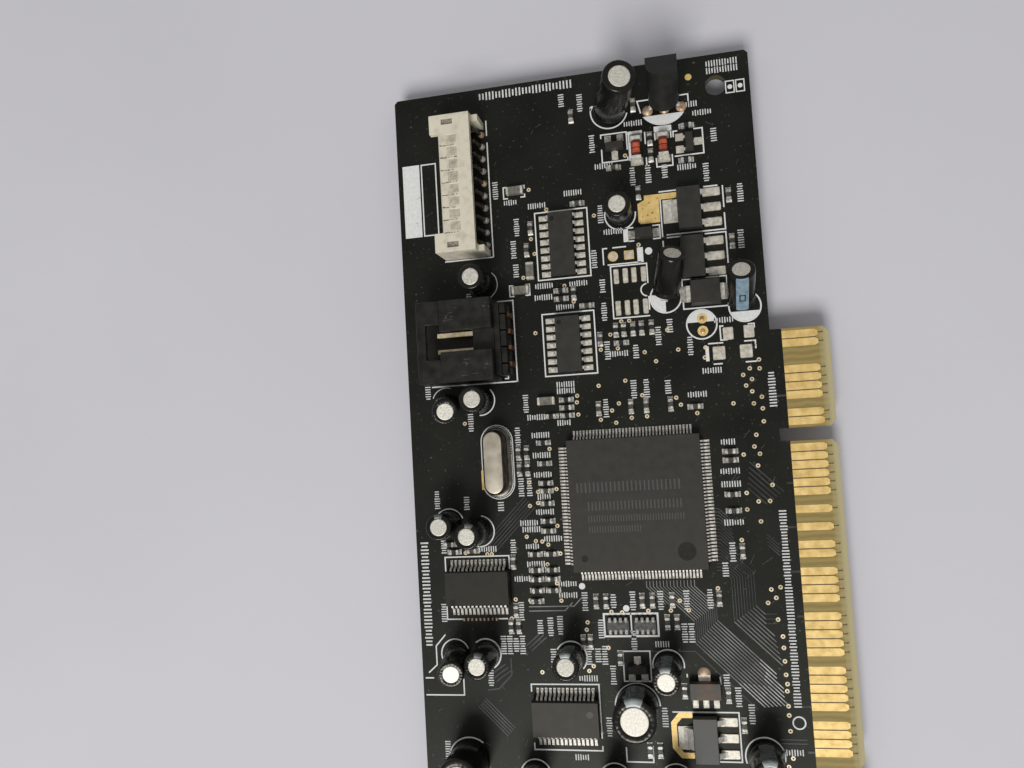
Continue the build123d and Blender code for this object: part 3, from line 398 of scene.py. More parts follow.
# Shapes that more than one section adds to
ink, worn, pads, gold, solder, copper, fills = shapes(7)


def rectangle(x0, y0, x1, y1, width=0.2):
    """Closed outline in print."""
    ink.ribbon([(x0, y0), (x1, y0), (x1, y1), (x0, y1)], width, 0, INK, True)


def pairs(*flat):
    """Points from X and Y in turn."""
    return list(zip(flat[::2], flat[1::2]))


def line(*flat, width=0.2):
    """Open line in print, from X and Y in turn."""
    ink.ribbon(pairs(*flat), width, 0, INK)


def segment(x, y, radius, start, end, *corner):
    """Filled part of a disc, cut off by a straight line or by lines to a corner."""
    rim = [on_circle(x, y, radius, start + (end - start) * i / 24) for i in range(25)]
    ink.prism(rim + list(corner), 0, INK)


# Gull-wing leads with their lands
def lead_row(shape, x, y, facing, count, pitch, half, lead):
    """One row of bent leads on a package's side, with a soldered land under each foot."""
    reach, foot, middle, thick, width = lead
    out = Vector((*on_circle(0, 0, 1, facing), 0))
    along = out.cross(UP)
    tip = half + reach
    bend = reach - foot
    path = [
        (half - 0.05, middle),
        (half + bend * 0.3, middle),
        (half + bend * 0.55, middle - thick * 0.6),
        (tip - foot - bend * 0.05, thick * 1.4),
        (tip - foot * 0.8, thick * 0.6),
        (tip, thick * 0.5),
    ]
    # Fine leads have dull, narrow lands and wide leads have bright, long ones
    lands, spare, wide = (solder, 0.45, 1.25) if pitch < 1 else (pads, 0.75, 1.85)
    across = [foot + spare, width * wide]
    if abs(out.x) < 0.5:
        across.reverse()
    for i in range(count):
        base = Vector((x, y, 0)) + along * ((i - (count - 1) / 2) * pitch)
        rings = []
        for k, (u, z) in enumerate(path):
            u0, z0 = path[max(k - 1, 0)]
            u1, z1 = path[min(k + 1, len(path) - 1)]
            slope = Vector((u1 - u0, z1 - z0)).normalized()
            rise = (out * -slope.y + UP * slope.x) * (thick / 2)
            spot = base + out * u + UP * z
            left, right = -along * width / 2, along * width / 2
            rings.append([spot + rise + left, spot + rise + right, spot - rise + right, spot - rise + left])
        shape.loft(rings)
        land = base + out * (tip - foot / 2 + 0.1)
        lands.plate(land.x, land.y, *across, 0, PAD)


# Leads: reach, foot, height at the body, thickness and width
FINE_LEAD = (1.0, 0.55, 0.8, 0.14, 0.24)
SHRINK_LEAD = (1.25, 0.7, 0.975, 0.17, 0.32)
WIDE_LEAD = (1.05, 0.65, 0.9, 0.2, 0.45)
ALL_SIDES, ENDS, FLANKS = (0, 90, 180, 270), (90, 270), (0, 180)
# Packages: centre, sides with leads, leads a side, their pitch, half the body's width and the lead
for name, x, y, facings, count, pitch, half, lead in (
    ("processor", -29.4, 53.9, ALL_SIDES, 36, 0.5, 10, FINE_LEAD),
    ("converter", TOP_EDGE + 9.9, 41.9, ENDS, 14, 0.65, 2.65, SHRINK_LEAD),
    ("codec", -41.95, 22.35, ENDS, 14, 0.65, 2.65, SHRINK_LEAD),
    ("amplifier", -38.1, 94.25, FLANKS, 8, 1.27, 1.95, WIDE_LEAD),
    ("switch", -38.0, 78.65, FLANKS, 7, 1.27, 1.95, WIDE_LEAD),
):
    leads = Shape()
    for facing in facings:
        lead_row(leads, x, y, facing, count, pitch, half, lead)
    piece(f"{name}_bent_leads", leads, "tin_plate", stands_for=[f"{name}_leads"])

# Aluminium capacitors: size, place, lean and its heading, heading of the stripe
SMALL, SHORT, MEDIUM, TALL, LARGE = (2.0, 7.2), (2.0, 5.7), (2.5, 7.6), (2.5, 11.0), (3.15, 7.6)
CAPACITORS = [
    (SHORT, -28.9, 98.2, 0, 0, 90), (SMALL, -51.4, 89.3, 0, 0, 90), (SMALL, -40.7, 31.1, 4, 70, 90),
    (SMALL, -26.3, 29.8, 3, -120, 92), (SMALL, -22.8, 85.05, 45, 74, 200), (SMALL, -12.0, 82.9, 30, 92, 270),
    (SMALL, -35.2, 13.3, 0, 0, 90), (SMALL, -26.2, 13.4, 0, 0, 90), (SMALL, TOP_EDGE + 6.3, 70.3, 17, -32, 90),
    (SMALL, TOP_EDGE + 11.5, 70.8, 6, 0, 90), (SMALL, TOP_EDGE + 5.6, 51.8, 4, 30, 90),
    (SMALL, TOP_EDGE + 10.2, 50.5, 0, 0, 75), (SMALL, TOP_EDGE + 5.9, 31.4, 10, -42, 90),
    (SMALL, TOP_EDGE + 10.7, 31.6, 0, 0, 80), (SMALL, TOP_EDGE + 17.2, 13.6, 0, 0, 90),
    (TALL, -29.4, 114.6, 13, 6, 80), (LARGE, -31.2, 24.2, 0, 0, 90), (LARGE, TOP_EDGE + 7.0, 15.5, 0, 0, 90),
    (MEDIUM, -13.4, 16.8, 0, 0, 90),
]
# Cans with a blue stripe, with a grey one, and with no more than a patch on the shoulder
BLUE_CAN, STRIPED, PATCHED = 5, (2, 3, 6, 7, 14, 16, 18), (10, 11, 13)
# Profiles: share of the radius, height above the board or the can's top, and depth of the wrinkles
FOOT = [(0.8, 0.02), (0.9, 0.03), (0.985, 0.16), (0.985, 0.6), (0.95, 0.8), (0.95, 1.0), (0.99, 1.25)]
DISC = 0.63
SLEEVE_TOP = [
    (0.99, -0.52), (0.972, -0.24), (0.925, -0.08, 0.03), (0.86, -0.01, 0.07), (0.77, 0, 0.1),
    (DISC + 0.03, -0.03, 0.08), (DISC, -0.14),
]
PATCH = [(1.0, -0.45), (0.982, -0.22), (0.935, -0.06), (0.865, 0.005), (0.775, 0.01), (0.7, -0.01)]
# Square mark on the blue stripe: limits of angle and height of its four sides
BLUE_MARK = ((-13, 13, 2.3, 2.5), (-13, 13, 3.5, 3.7), (-13, -8, 2.5, 3.5), (8, 13, 2.5, 3.5))
small_cans, large_cans, can_tops, stripes, stripe_highlight_bands, blue_stripe, blue_mark, wires = shapes(8)


def band(shape, place, radius, middle, half, path):
    """Thin strip round part of a can, between two angles."""
    path = path + [(share - 0.03, z - 0.05) for share, z in reversed(path)]
    rings = []
    for step in range(9):
        u, v = on_circle(0, 0, radius, middle + half * (step / 4 - 1))
        rings.append([place @ Vector((share * u, share * v, z)) for share, z in path])
    shape.loft(rings)


for number, ((radius, height), x, y, lean, toward, mark) in enumerate(CAPACITORS):
    side = Vector((*on_circle(0, 0, 1, toward), 0))
    tilt = Matrix.Rotation(math.radians(lean), 4, UP.cross(side))
    place = at(x, y, radius * math.sin(math.radians(lean))) @ tilt
    sleeve = small_cans if radius == SMALL[0] else large_cans
    shoulder = [(share, height + z, *ripple) for share, z, *ripple in SLEEVE_TOP]
    sleeve.lathe(place, [(radius * share, *rest) for share, *rest in FOOT + shoulder], 60)
    rim, top = radius * DISC, height - 0.08
    can_tops.lathe(place, [(rim, top - 0.22), (rim, top - 0.05), (rim - 0.07, top), (rim - 0.12, top)])
    patch = [(share, height + z) for share, z in PATCH]
    if number == BLUE_CAN:
        path = [(1.0, 0.2), (1.0, height - 0.5), (0.985, height - 0.25), (0.94, height - 0.07)]
        band(blue_stripe, place, radius, mark, 26, path)
        for start, end, low, high in BLUE_MARK:
            band(blue_mark, place, radius, mark + (start + end) / 2, (end - start) / 2, [(1.012, low), (1.012, high)])
    elif number in STRIPED:
        # Stripe down the side in its dark tone and over the shoulder in its lighter tone: painted shade and painted
        # highlight
        band(stripes, place, radius, mark, 25, [(1.0, 1.4), (1.0, height - 0.45)])
        band(stripe_highlight_bands, place, radius, mark, 25, patch)
    elif number in PATCHED:
        band(stripes, place, radius, mark, 20, patch)
    for reach in (-radius / 2, radius / 2):
        wires.rod(Vector((x, y + reach, 0)), place @ Vector((0, reach, 0.1)), 0.25)
piece("small_capacitor_cans", small_cans, "capacitor_sleeve", stands_for=["small_capacitors"])
piece("large_capacitor_cans", large_cans, "capacitor_sleeve", stands_for=["large_capacitors"])
piece("capacitor_tops", can_tops, "can_steel", "can_top")
# The stripes' dark tone and the lighter band over each shoulder are painted shade and a painted highlight
piece("capacitor_stripes", stripes, "capacitor_sleeve", "sleeve_stripe")
piece("capacitor_stripe_painted_highlights", stripe_highlight_bands, "capacitor_sleeve", "sleeve_stripe_painted_highlight")
piece("capacitor_blue_mark", blue_mark, "capacitor_sleeve", "black_mould")
piece("capacitor_blue_stripe", blue_stripe, "capacitor_sleeve", "sleeve_stripe_blue")
piece("capacitor_wires", wires, "tin_plate")

# Crystal: length, width and height of the rings of its side, its can and its flange
CRYSTAL_X, CRYSTAL_Y = TOP_EDGE + 14.0, 61.1


def obround(length, width, z=0.0, steps=14):
    """Ring with straight sides along Y and round ends."""
    points = []
    for end in (1, -1):
        middle = CRYSTAL_Y + end * (length - width) / 2
        for i in range(steps + 1):
            points.append((*on_circle(CRYSTAL_X, middle, width / 2, 180 * i / steps + 90 - 90 * end), z))
    return points


# The side and flange are drawn in darker steel: painted shade and painted reflection of the dark board
for name, look, replaced, rings in (
    (
        "crystal_side_painted_shade", "side_steel_painted_shade", (),
        (
            (10.0, 3.45, 0.5), (10.0, 3.45, 2.5), (9.93, 3.37, 2.87), (9.75, 3.17, 3.115), (9.5, 2.9, 3.255),
            (9.3, 2.7, 3.25),
        ),
    ),
    (
        "crystal_can", None, ["crystal"],
        (
            (9.95, 3.4, 0.5), (9.95, 3.4, 2.5), (9.88, 3.32, 2.86), (9.7, 3.12, 3.1), (9.45, 2.85, 3.24),
            (9.1, 2.5, 3.29),
        ),
    ),
    (
        "crystal_flange", "flange_steel_painted_reflection", (),
        ((10.75, 4.3, 0.1), (10.9, 4.45, 0.2), (10.9, 4.45, 0.45), (10.7, 4.25, 0.56), (10.2, 3.7, 0.62)),
    ),
):
    crystal = Shape()
    crystal.loft([obround(*ring) for ring in rings])
    piece(name, crystal, "can_steel", look, replaced)

# White header: a box with its mouth, end windows and shallow pockets cut out, and darker patches in and between them,
# which are partly stain and partly painted shade
FRONT, BACK = TOP_EDGE + 7.4, TOP_EDGE + 13.8
LOW, HIGH, TOP = 93.7, 115.3, 5.8
CHEEK, SETBACK, WALL, REAR = 3.0, 1.5, 1.0, 1.4
WINDOW, WINDOW_IN = (FRONT + 1.95, FRONT + 3.75), 1.15
POCKETS, POCKET_STEP, POCKET = 8, 1.95, 0.06
PANEL_PINS = [95.5 + 2.0 * i for i in range(10)]
header, hollows, stubs, stain_and_shade_patches, dirt_and_shade_marks, ears = shapes(6)
header.box((FRONT, BACK), (LOW, HIGH), (0, TOP))
hollows.box((FRONT - PAST, BACK - REAR), (LOW + WALL, HIGH - WALL), (WALL, TOP - WALL))
hollows.box((FRONT - PAST, FRONT + SETBACK), (LOW + CHEEK, HIGH - CHEEK), (TOP - WALL - 0.1, TOP + PAST))
for y in (LOW + WINDOW_IN, HIGH - WINDOW_IN):
    hollows.box(WINDOW, (y - 0.45, y + 0.45), (TOP - 0.5, TOP + PAST))
    # Darker plate on each window's floor: soiling and painted shade in the recess
    dirt_and_shade_marks.plate(sum(WINDOW) / 2, y, 1.84, 0.94, TOP - 0.52, TOP - 0.3)
hollows.box((BACK - 1.2, BACK + PAST), (LOW + 1.2, HIGH - 1.2), (-PAST, TOP - 0.9))
draw = random.Random(12)
for i in range(POCKETS):
    y = (LOW + HIGH) / 2 + (i - (POCKETS - 1) / 2) * POCKET_STEP
    x = FRONT + SETBACK
    hollows.box((x + 1.15, FRONT + 4.25), (y - 0.72, y + 0.72), (TOP - POCKET, TOP + PAST))
    hollows.box((x + 0.1, x + 1.05), (y - 1.04, y - 0.91), (TOP - 0.3, TOP + PAST))
    # Greyer patch on each pocket's floor: stain and painted shade in the recess
    wide, deep = draw.uniform(1.3, 1.68), draw.uniform(1.1, 1.42)
    stain_and_shade_patches.plate(FRONT + 4.24 - wide / 2, y, wide, deep, TOP - POCKET - 0.02, TOP - POCKET + 0.02)
    # Dark dashes along the seam between pockets: soiling and painted shade in the seam
    x += 0.05
    while x < FRONT + 3.9:
        dash, thick, shift = draw.uniform(0.12, 0.55), draw.uniform(0.07, 0.2), draw.uniform(-0.06, 0.06)
        dirt_and_shade_marks.plate(x + dash / 2, y - 0.97 + shift, dash, thick, TOP - 0.02, TOP + 0.01)
        x += dash + draw.uniform(0.05, 0.36)
for y in PANEL_PINS:
    stubs.box((BACK - 1.3, BACK + 0.1), (y - 0.25, y + 0.25), (2.65, 3.15))
for low, high in ((LOW, LOW + WALL), (HIGH - WALL, HIGH)):
    ears.block((BACK - 0.02, low, 0), (BACK + 1.0, high, 4.2), 0.06)
piece("panel_header_housing", header, "white_nylon", None, ["panel_header"], hollows, 0.07)
piece("panel_header_ears", ears, "white_nylon")
piece("panel_header_stains_and_shade", stain_and_shade_patches, "white_nylon", "stained_and_shaded_nylon")
piece("panel_header_dirt_and_shade", dirt_and_shade_marks, "white_nylon", "grime_and_painted_shade")
piece("panel_header_stubs", stubs, "tin_plate", "dull_pin")

# Black header: a box with its cavity, mouth and slot cut out, and the comb that holds its tails
A_FRONT, A_BACK = TOP_EDGE + 3.8, TOP_EDGE + 15.6
A_LOW, A_HIGH, A_TOP = 73.6, 86.2, 6.4
A_MID = (A_LOW + A_HIGH) / 2
CAVITY_END, MOUTH = A_BACK - 3.4, (A_FRONT + 1.4, A_FRONT + 3.7)
COMB_LOW, COMB_HIGH, COMB_TOP, STEP = A_LOW + 0.8, A_HIGH - 0.8, 4.4, 0.2
INCH_TENTH = 2.54
TAIL_X, AUDIO_PINS = A_BACK + 2.05, [A_MID + (i - 1.5) * INCH_TENTH for i in range(4)]
shroud, hollows, comb = shapes(3)
shroud.box((A_FRONT, A_BACK), (A_LOW, A_HIGH), (0, A_TOP))
hollows.box((A_FRONT - PAST, CAVITY_END), (A_LOW + WALL, A_HIGH - WALL), (WALL, A_TOP - WALL))
hollows.box(MOUTH, (A_MID - 2.7, A_MID + 2.7), (A_TOP - WALL - 0.1, A_TOP + PAST))
hollows.box((MOUTH[1] - 0.1, A_BACK + PAST), (A_MID - 1.6, A_MID + 1.6), (COMB_TOP, A_TOP + PAST))
hollows.box((A_FRONT - PAST, MOUTH[1]), (A_LOW - PAST, A_HIGH + PAST), (A_TOP - STEP, A_TOP + PAST))
comb.block((A_BACK - 0.02, COMB_LOW, 0), (A_BACK + 0.9, COMB_HIGH, COMB_TOP), 0.08)
comb.block((A_BACK + 0.8, COMB_LOW, 0), (A_BACK + 1.6, COMB_HIGH, COMB_TOP - 1.2), 0.05)
for low, high in zip([COMB_LOW] + AUDIO_PINS, AUDIO_PINS + [COMB_HIGH]):
    comb.block((A_BACK + 0.96, low + 0.1, 0), (A_BACK + 1.85, high - 0.1, COMB_TOP), 0.08)
piece("audio_header_housing", shroud, "black_nylon", None, ["audio_header"], hollows, 0.09)
piece("audio_header_comb", comb, "black_nylon")

# Chip parts, by the axis that they lie along
CHIP_LENGTH, CHIP_WIDTH, CHIP_HEIGHT = 1.6, 0.8, 0.55
END_SHARE, LIFT, FILLET = 0.32, 0.06, 0.35
CAPACITOR_CHIPS = {
    "x": pairs(
        -29.4, 105.4, -35.4, 100.5, -34.9, 84.4, -19.7, 67.8, -15.2, 60.9, -15.2, 59.6, -15.3, 54.6, -15.3, 52.2,
        -43.0, 60.5, -43.0, 56.3, -43.0, 50.2, -55.3, 47.5,
    ),
    "y": pairs(
        -43.0, 97.4, -43.8, 94.0, -35.5, 114.4, -25.8, 114.8, -12.6, 99.1, -12.6, 92.1, -33.2, 79.0, -34.1, 68.4,
        -29.2, 68.4, -26.9, 68.4, -23.3, 68.4, -14.5, 46.3, -36.4, 39.4, -29.5, 39.4, -28.0, 39.4, -25.1, 39.4,
        -18.3, 39.5, -18.0, 25.6, -16.1, 21.4, -48.8, 45.6, -48.8, 38.2, -47.0, 62.3, -47.0, 59.8, -28.3, 17.6,
    ),
}
RESISTOR_CHIPS = {
    "x": pairs(
        -18.0, 110.5, -18.4, 105.2, -38.8, 87.1, -38.8, 85.8, -30.0, 78.2, -39.0, 70.1, -39.0, 68.9, -39.0, 67.7,
        -41.5, 67.7, -43.0, 63.7, -43.0, 57.5, -43.0, 54.4, -43.0, 51.7, -45.3, 46.7, -42.8, 46.7, -45.3, 44.3,
        -42.8, 44.3, -45.3, 42.9, -42.8, 42.9, -45.3, 41.2, -42.8, 41.2, -45.5, 39.6, -58.9, 48.6, -58.2, 47.4,
    ),
    "y": pairs(
        -23.6, 109.2, -23.6, 106.6, -25.9, 101.0, -36.8, 86.5, -30.7, 80.2, -29.5, 80.2, -28.1, 80.2, -26.8, 80.2,
        -25.3, 80.2, -45.7, 62.3, -45.7, 59.8, -49.7, 35.8, -48.5, 35.8, -34.9, 39.4, -26.0, 36.2, -24.6, 36.2,
        -37.6, 33.4, -38.7, 33.4, -33.3, 31.0, -24.2, 26.2, -29.8, 17.6,
    ),
}
chip_bodies, resistor_bodies, chip_ends = shapes(3)


def chip(bodies, x, y, along):
    """Ceramic chip with metal ends, and a solder fillet and a land at each."""

    def corner(u, v, z=0.0):
        return (x + u, y + v, z) if along == "x" else (x + v, y + u, z)

    half, cap, v, rise = CHIP_LENGTH / 2, CHIP_LENGTH * END_SHARE, CHIP_WIDTH / 2, CHIP_HEIGHT * 0.6
    fillet = ((half - 0.02, 0), (half + FILLET, 0), (half + FILLET * 0.35, rise * 0.35), (half - 0.02, rise))
    bodies.block(corner(cap - half, 0.03 - v, LIFT), corner(half - cap, v - 0.03, CHIP_HEIGHT - 0.03), 0.03)
    for side in (-1, 1):
        near, far = sorted((side * half, side * (half - cap)))
        chip_ends.block(corner(near, -v, LIFT), corner(far, v, CHIP_HEIGHT), 0.12)
        chip_ends.loft([[corner(side * u, end, z) for u, z in fillet] for end in (-v, v)])
        land_x, land_y, _ = corner(side * (half + FILLET / 2 - cap / 2), 0)
        across = (cap + FILLET, CHIP_WIDTH) if along == "x" else (CHIP_WIDTH, cap + FILLET)
        chip_ends.plate(land_x, land_y, *across, 0, PAD)


for bodies, chips in ((chip_bodies, CAPACITOR_CHIPS), (resistor_bodies, RESISTOR_CHIPS)):
    for along, places in chips.items():
        for x, y in places:
            chip(bodies, x, y, along)
piece("chip_capacitors", chip_bodies, "ferrite", "chip_ceramic")
piece("chip_resistors", resistor_bodies, "resistor_coat")
piece("chip_ends", chip_ends, "tin_plate", "chip_end")

# Print: outlines, lines, fields and circles
for x0, y0, x1, y1 in (
    (-42.2, 89.0, -33.95, 99.7), (-42.0, 73.9, -33.9, 83.6), (-20.35, 82.5, -13.8, 87.0),
    (-32.9, 27.6, -28.9, 32.0),
):
    rectangle(x0, y0, x1, y1)
rectangle(-35.4, 34.2, -27.4, 37.5, 0.28)
for points in (
    # Three boxes and the round transistor at the far end
    (-31.05, 110.2, -31.05, 110.8, -27.1, 110.8, -27.1, 108.0),
    (-31.05, 108.5, -31.05, 106.4, -27.1, 106.4, -27.1, 106.9), (-24.3, 108.5, -24.3, 110.4),
    (-24.3, 105.0, -24.3, 106.4), (-22.8, 110.2, -22.8, 108.9), (-20.4, 110.2, -20.4, 109.0),
    (-22.8, 106.1, -22.8, 104.7, -20.4, 104.7, -20.4, 106.4), (-20.05, 109.0, -20.05, 109.9, -19.4, 109.9),
    (-17.0, 109.9, -15.7, 109.9, -15.7, 106.0, -20.05, 106.0), (-24.7, 113.4, -25.15, 115.35, -23.4, 115.35),
    (-18.7, 115.4, -17.45, 115.4, -17.45, 114.3),
    # Regulators, signal diode, jumper and the empty place for an eight-lead package
    (-22.85, 100.8, -19.95, 100.8), (-22.7, 99.7, -22.7, 93.8), (-22.7, 93.2, -22.7, 91.2),
    (-16.2, 100.8, -14.1, 100.8), (-13.4, 100.7, -13.4, 97.35), (-13.4, 96.55, -13.4, 94.05, -22.1, 94.05),
    (-22.1, 93.62, -19.95, 93.62), (-16.5, 93.62, -13.4, 93.62, -13.4, 88.85), (-27.8, 95.75, -27.0, 95.75),
    (-27.8, 93.7, -27.0, 93.7), (-24.15, 95.75, -23.05, 95.75, -23.05, 93.7, -24.15, 93.7),
    (-31.2, 92.95, -31.9, 92.95, -31.9, 90.4), (-30.4, 92.95, -28.3, 92.95), (-31.3, 90.35, -26.2, 90.35),
    (-25.4, 87.0, -25.4, 90.05, -30.9, 90.05, -30.9, 82.0, -25.4, 82.0), (-25.4, 85.0, -25.4, 82.9),
    # Headers
    (-46.5, 73.4, -46.5, 86.3, -49.3, 86.3), (-60.5, 73.5, -46.5, 73.5), (-48.5, 74.05, -47.9, 74.05, -47.9, 74.5),
    (-49.2, 93.5, -49.2, 112.1), (-49.2, 113.2, -49.2, 115.7), (-57.2, 93.5, -49.2, 93.5),
    # Two larger chips
    (-46.3, 104.4, -47.0, 104.4, -47.0, 102.6, -46.3, 102.6), (-44.3, 104.4, -43.6, 104.4, -43.6, 103.9),
    (-44.3, 102.6, -43.6, 102.6, -43.6, 103.1), (-46.2, 88.6, -46.9, 88.6, -46.9, 86.9, -46.2, 86.9),
    (-44.4, 88.6, -43.7, 88.6, -43.7, 86.9, -44.4, 86.9),
    # Converter, codec, lower regulator and the corner by the bracket
    (-59.8, 44.4, -59.8, 46.6, -49.5, 46.6, -49.5, 44.6), (-59.9, 39.0, -59.9, 37.0, -57.4, 37.0),
    (-51.7, 37.0, -50.2, 37.0), (-47.15, 26.0, -47.15, 27.1, -36.8, 27.1, -36.8, 19.2),
    (-47.15, 18.4, -47.15, 17.4, -36.8, 17.4, -36.8, 18.1), (-26.2, 23.2, -16.75, 23.2, -16.75, 16.2, -19.9, 16.2),
    (-23.7, 28.2, -23.7, 28.7), (-19.0, 28.3, -19.0, 27.2), (-64.0, 25.4, -57.8, 25.4, -57.8, 27.9),
    (-64.0, 28.0, -62.6, 28.0), (-63.4, 28.8, -62.0, 30.0, -62.0, 32.9, -60.4, 34.65),
    (-31.35, 34.1, -31.35, 37.6), (-33.3, 18.0, -33.3, 15.9, -29.4, 15.9, -29.4, 18.3),
    # Empty places at the connector's far end
    (-17.2, 77.0, -15.0, 77.0), (-16.6, 73.9, -15.3, 73.9), (-12.0, 73.9, -10.4, 73.9),
    (-12.0, 77.0, -10.4, 77.0, -10.4, 75.8), (-14.8, 79.5, -15.3, 79.5, -15.3, 77.4, -14.3, 77.4),
    (-11.3, 79.5, -10.4, 79.5, -10.4, 78.9),
):
    line(*points)
line(-17.4, 74.4, -17.4, 76.6, width=0.5)
for x0, y0, x1, y1 in (
    (-22.9, 110.05, -20.25, 111.0), (-26.95, 110.3, -24.7, 110.75), (-26.9, 106.2, -26.55, 110.3),
    (-28.6, 93.65, -27.85, 95.8), (-26.7, 90.3, -25.8, 92.6), (-63.6, 98.0, -60.75, 109.9),
):
    ink.plate((x0 + x1) / 2, (y0 + y1) / 2, x1 - x0, y1 - y0, 0, INK)
rectangle(-60.4, 98.1, -58.0, 109.8)
for x, y, radius, width, start, end in (
    (-29.55, 114.55, 2.85, 0.2, 165, 345), (-28.9, 98.0, 2.35, 0.2, 165, 365), (-51.2, 89.2, 2.35, 0.12, 255, 410),
    (-22.9, 84.5, 2.3, 0.22, 0, 360), (-11.5, 82.2, 2.3, 0.22, 0, 360), (-17.9, 80.0, 2.2, 0.22, 0, 360),
    (-58.2, 70.9, 2.35, 0.12, 70, 160), (-52.7, 70.9, 2.35, 0.18, 265, 405),
    (-54.0, 50.5, 2.4, 0.18, 250, 440), (-58.8, 51.8, 2.35, 0.18, 20, 160), (-58.9, 31.7, 2.25, 0.2, 20, 200),
    (-54.0, 31.6, 2.35, 0.22, -60, 130), (-40.7, 31.1, 2.4, 0.2, -45, 150),
    (-26.3, 29.9, 2.3, 0.18, -10, 190), (-31.2, 24.0, 3.3, 0.2, 0, 180), (-57.4, 15.6, 3.4, 0.2, 50, 200),
    (-47.2, 13.6, 2.35, 0.2, 20, 160), (-35.2, 13.3, 2.35, 0.18, 0, 180), (-26.2, 13.4, 2.35, 0.18, 0, 180),
    (-13.5, 17.0, 2.75, 0.2, -20, 200), (-25.55, 86.0, 0.95, 0.2, 95, 265), (-8.5, 21.85, 0.85, 0.2, 0, 360),
):
    ink.arc(x, y, radius, width, start, end, 0, INK)
segment(-21.3, 114.87, 3.77, 270 - 56, 270 + 56)
segment(-22.9, 84.5, 2.2, 165, 268, (-22.95, 84.7))
segment(-11.5, 82.2, 2.2, 200, 340)
segment(-17.9, 80.0, 2.1, 10, 170)
segment(-32.1, 115.2, 0.4, 60, 250)
segment(-24.95, 91.9, 0.55, 0, 359)
for length, width in ((11.5, 5.05), (10.95, 4.55)):
    ink.ribbon([(x, y) for x, y, _ in obround(length, width)], 0.14, 0, INK, True)
for x, y in ((-38.4, 41.7), (-31.95, 38.3)):
    ink.disc(x, y, 0.48, 0, INK)


# Print: short rows of upright strokes in place of the board's lettering
def bars(x, y, along, count, size, seed):
    """Row of plain upright strokes at an even step that stands for a printed label."""
    draw = random.Random(seed)
    step, thick = size * 0.42, size * 0.19
    for i in range(2 * count):
        u = (i + 0.5 - count) * step
        tall = size * draw.choice((0.78, 1.0, 1.0))
        if along == "x":
            worn.plate(x + u, y, thick, tall, 0, INK)
        else:
            worn.plate(x, y + u, tall, thick, 0, INK)


# Runs of labels along one axis, each with the places of its labels
LABELS = (
    ("y", -36.9, 117.2, -34.0, 116.4), ("x", -26.0, 112.0, -17.6, 113.8, -15.6, 112.3), ("y", -14.1, 108.6,
    -32.5, 109.6), ("x", -30.9, 105.9), ("y", -26.6, 103.7, -24.2, 103.8, -21.7, 103.9), ("x", -18.4, 104.2,
    -36.0, 102.3, -41.8, 100.9), ("y", -48.3, 104.1), ("x", -46.0, 101.9), ("y", -10.9, 99.3, -11.3, 92.3,
    -45.2, 97.8, -45.9, 94.3, -45.7, 90.9), ("x", -41.4, 88.1, -36.0, 88.0, -41.6, 86.3, -38.3, 84.5),
    ("y", -32.3, 87.2, -33.3, 91.5, -31.9, 98.4, -32.3, 83.2, -24.4, 78.8, -22.6, 80.2, -19.8, 76.9),
    ("x", -14.7, 80.4, -16.9, 73.0, -30.5, 76.6), ("y", -27.9, 76.7, -32.2, 77.2), ("x", -39.0, 72.5, -39.0, 71.5),
    ("y", -45.4, 69.9), ("x", -39.6, 66.6, -43.9, 67.7), ("y", -33.0, 68.4, -28.6, 71.0, -26.7, 71.0, -23.5, 71.0),
    ("x", -19.3, 69.6, -43.4, 64.9, -43.4, 61.8, -43.4, 58.8, -43.4, 55.4, -43.4, 53.1, -46.0, 51.5, -45.7, 50.5,
    -42.4, 49.0, -45.7, 47.9, -45.3, 45.2, -47.4, 43.0, -40.6, 42.1, -40.6, 40.4), ("y", -48.7, 48.0),
    ("x", -52.8, 47.7), ("y", -48.0, 38.1, -60.4, 38.0, -59.9, 48.6, -45.2, 35.7, -43.6, 35.7, -42.1, 35.9,
    -51.1, 33.0, -50.1, 33.0, -49.1, 33.0, -48.1, 33.0, -53.4, 28.2, -43.4, 31.0, -38.0, 31.4, -36.6, 31.4,
    -35.6, 31.4, -34.5, 28.5), ("x", -38.3, 28.0), ("y", -31.1, 33.6), ("x", -27.0, 33.0), ("y", -35.9, 35.3,
    -23.6, 34.6, -22.6, 34.6, -38.1, 39.4, -33.8, 39.4, -30.9, 39.4, -26.8, 39.4, -23.0, 39.4, -19.6, 39.5),
    ("x", -15.4, 62.3, -15.4, 58.0, -15.4, 56.1, -15.4, 50.5), ("y", -15.9, 46.2, -17.1, 43.7, -48.5, 63.6,
    -47.0, 64.9, -46.9, 57.0, -45.6, 57.0, -18.1, 27.6, -16.6, 25.4, -14.9, 23.0, -27.3, 22.4, -35.6, 20.9),
    ("x", -40.0, 16.4, -9.6, 17.7), ("y", -61.2, 73.0, -54.4, 67.5, -60.6, 55.6, -55.8, 54.9, -53.6, 86.6,
    -60.9, 17.0), ("x", -30.2, 95.5), ("y", -15.6, 103.0),
)
LABEL_SIZE = 0.88
places = [(*place, along) for along, *flat in LABELS for place in pairs(*flat)]
for number, place in enumerate(places):
    bars(*place, 3 if number % 5 == 0 else 4, LABEL_SIZE, number)
bars(-8.55, 69.6, "y", 6, 1.05, 301)
bars(-8.5, 38.0, "y", 32, 1.05, 302)
bars(-63.1, 41.0, "y", 15, 1.3, 303)
bars(-42.6, 119.7, "x", 14, 1.3, 304)
bars(-12.2, 119.6, "x", 6, 0.95, 305)
bars(-12.2, 118.5, "x", 6, 0.95, 306)
bars(-50.3, 54.2, "y", 2, 0.95, 307)
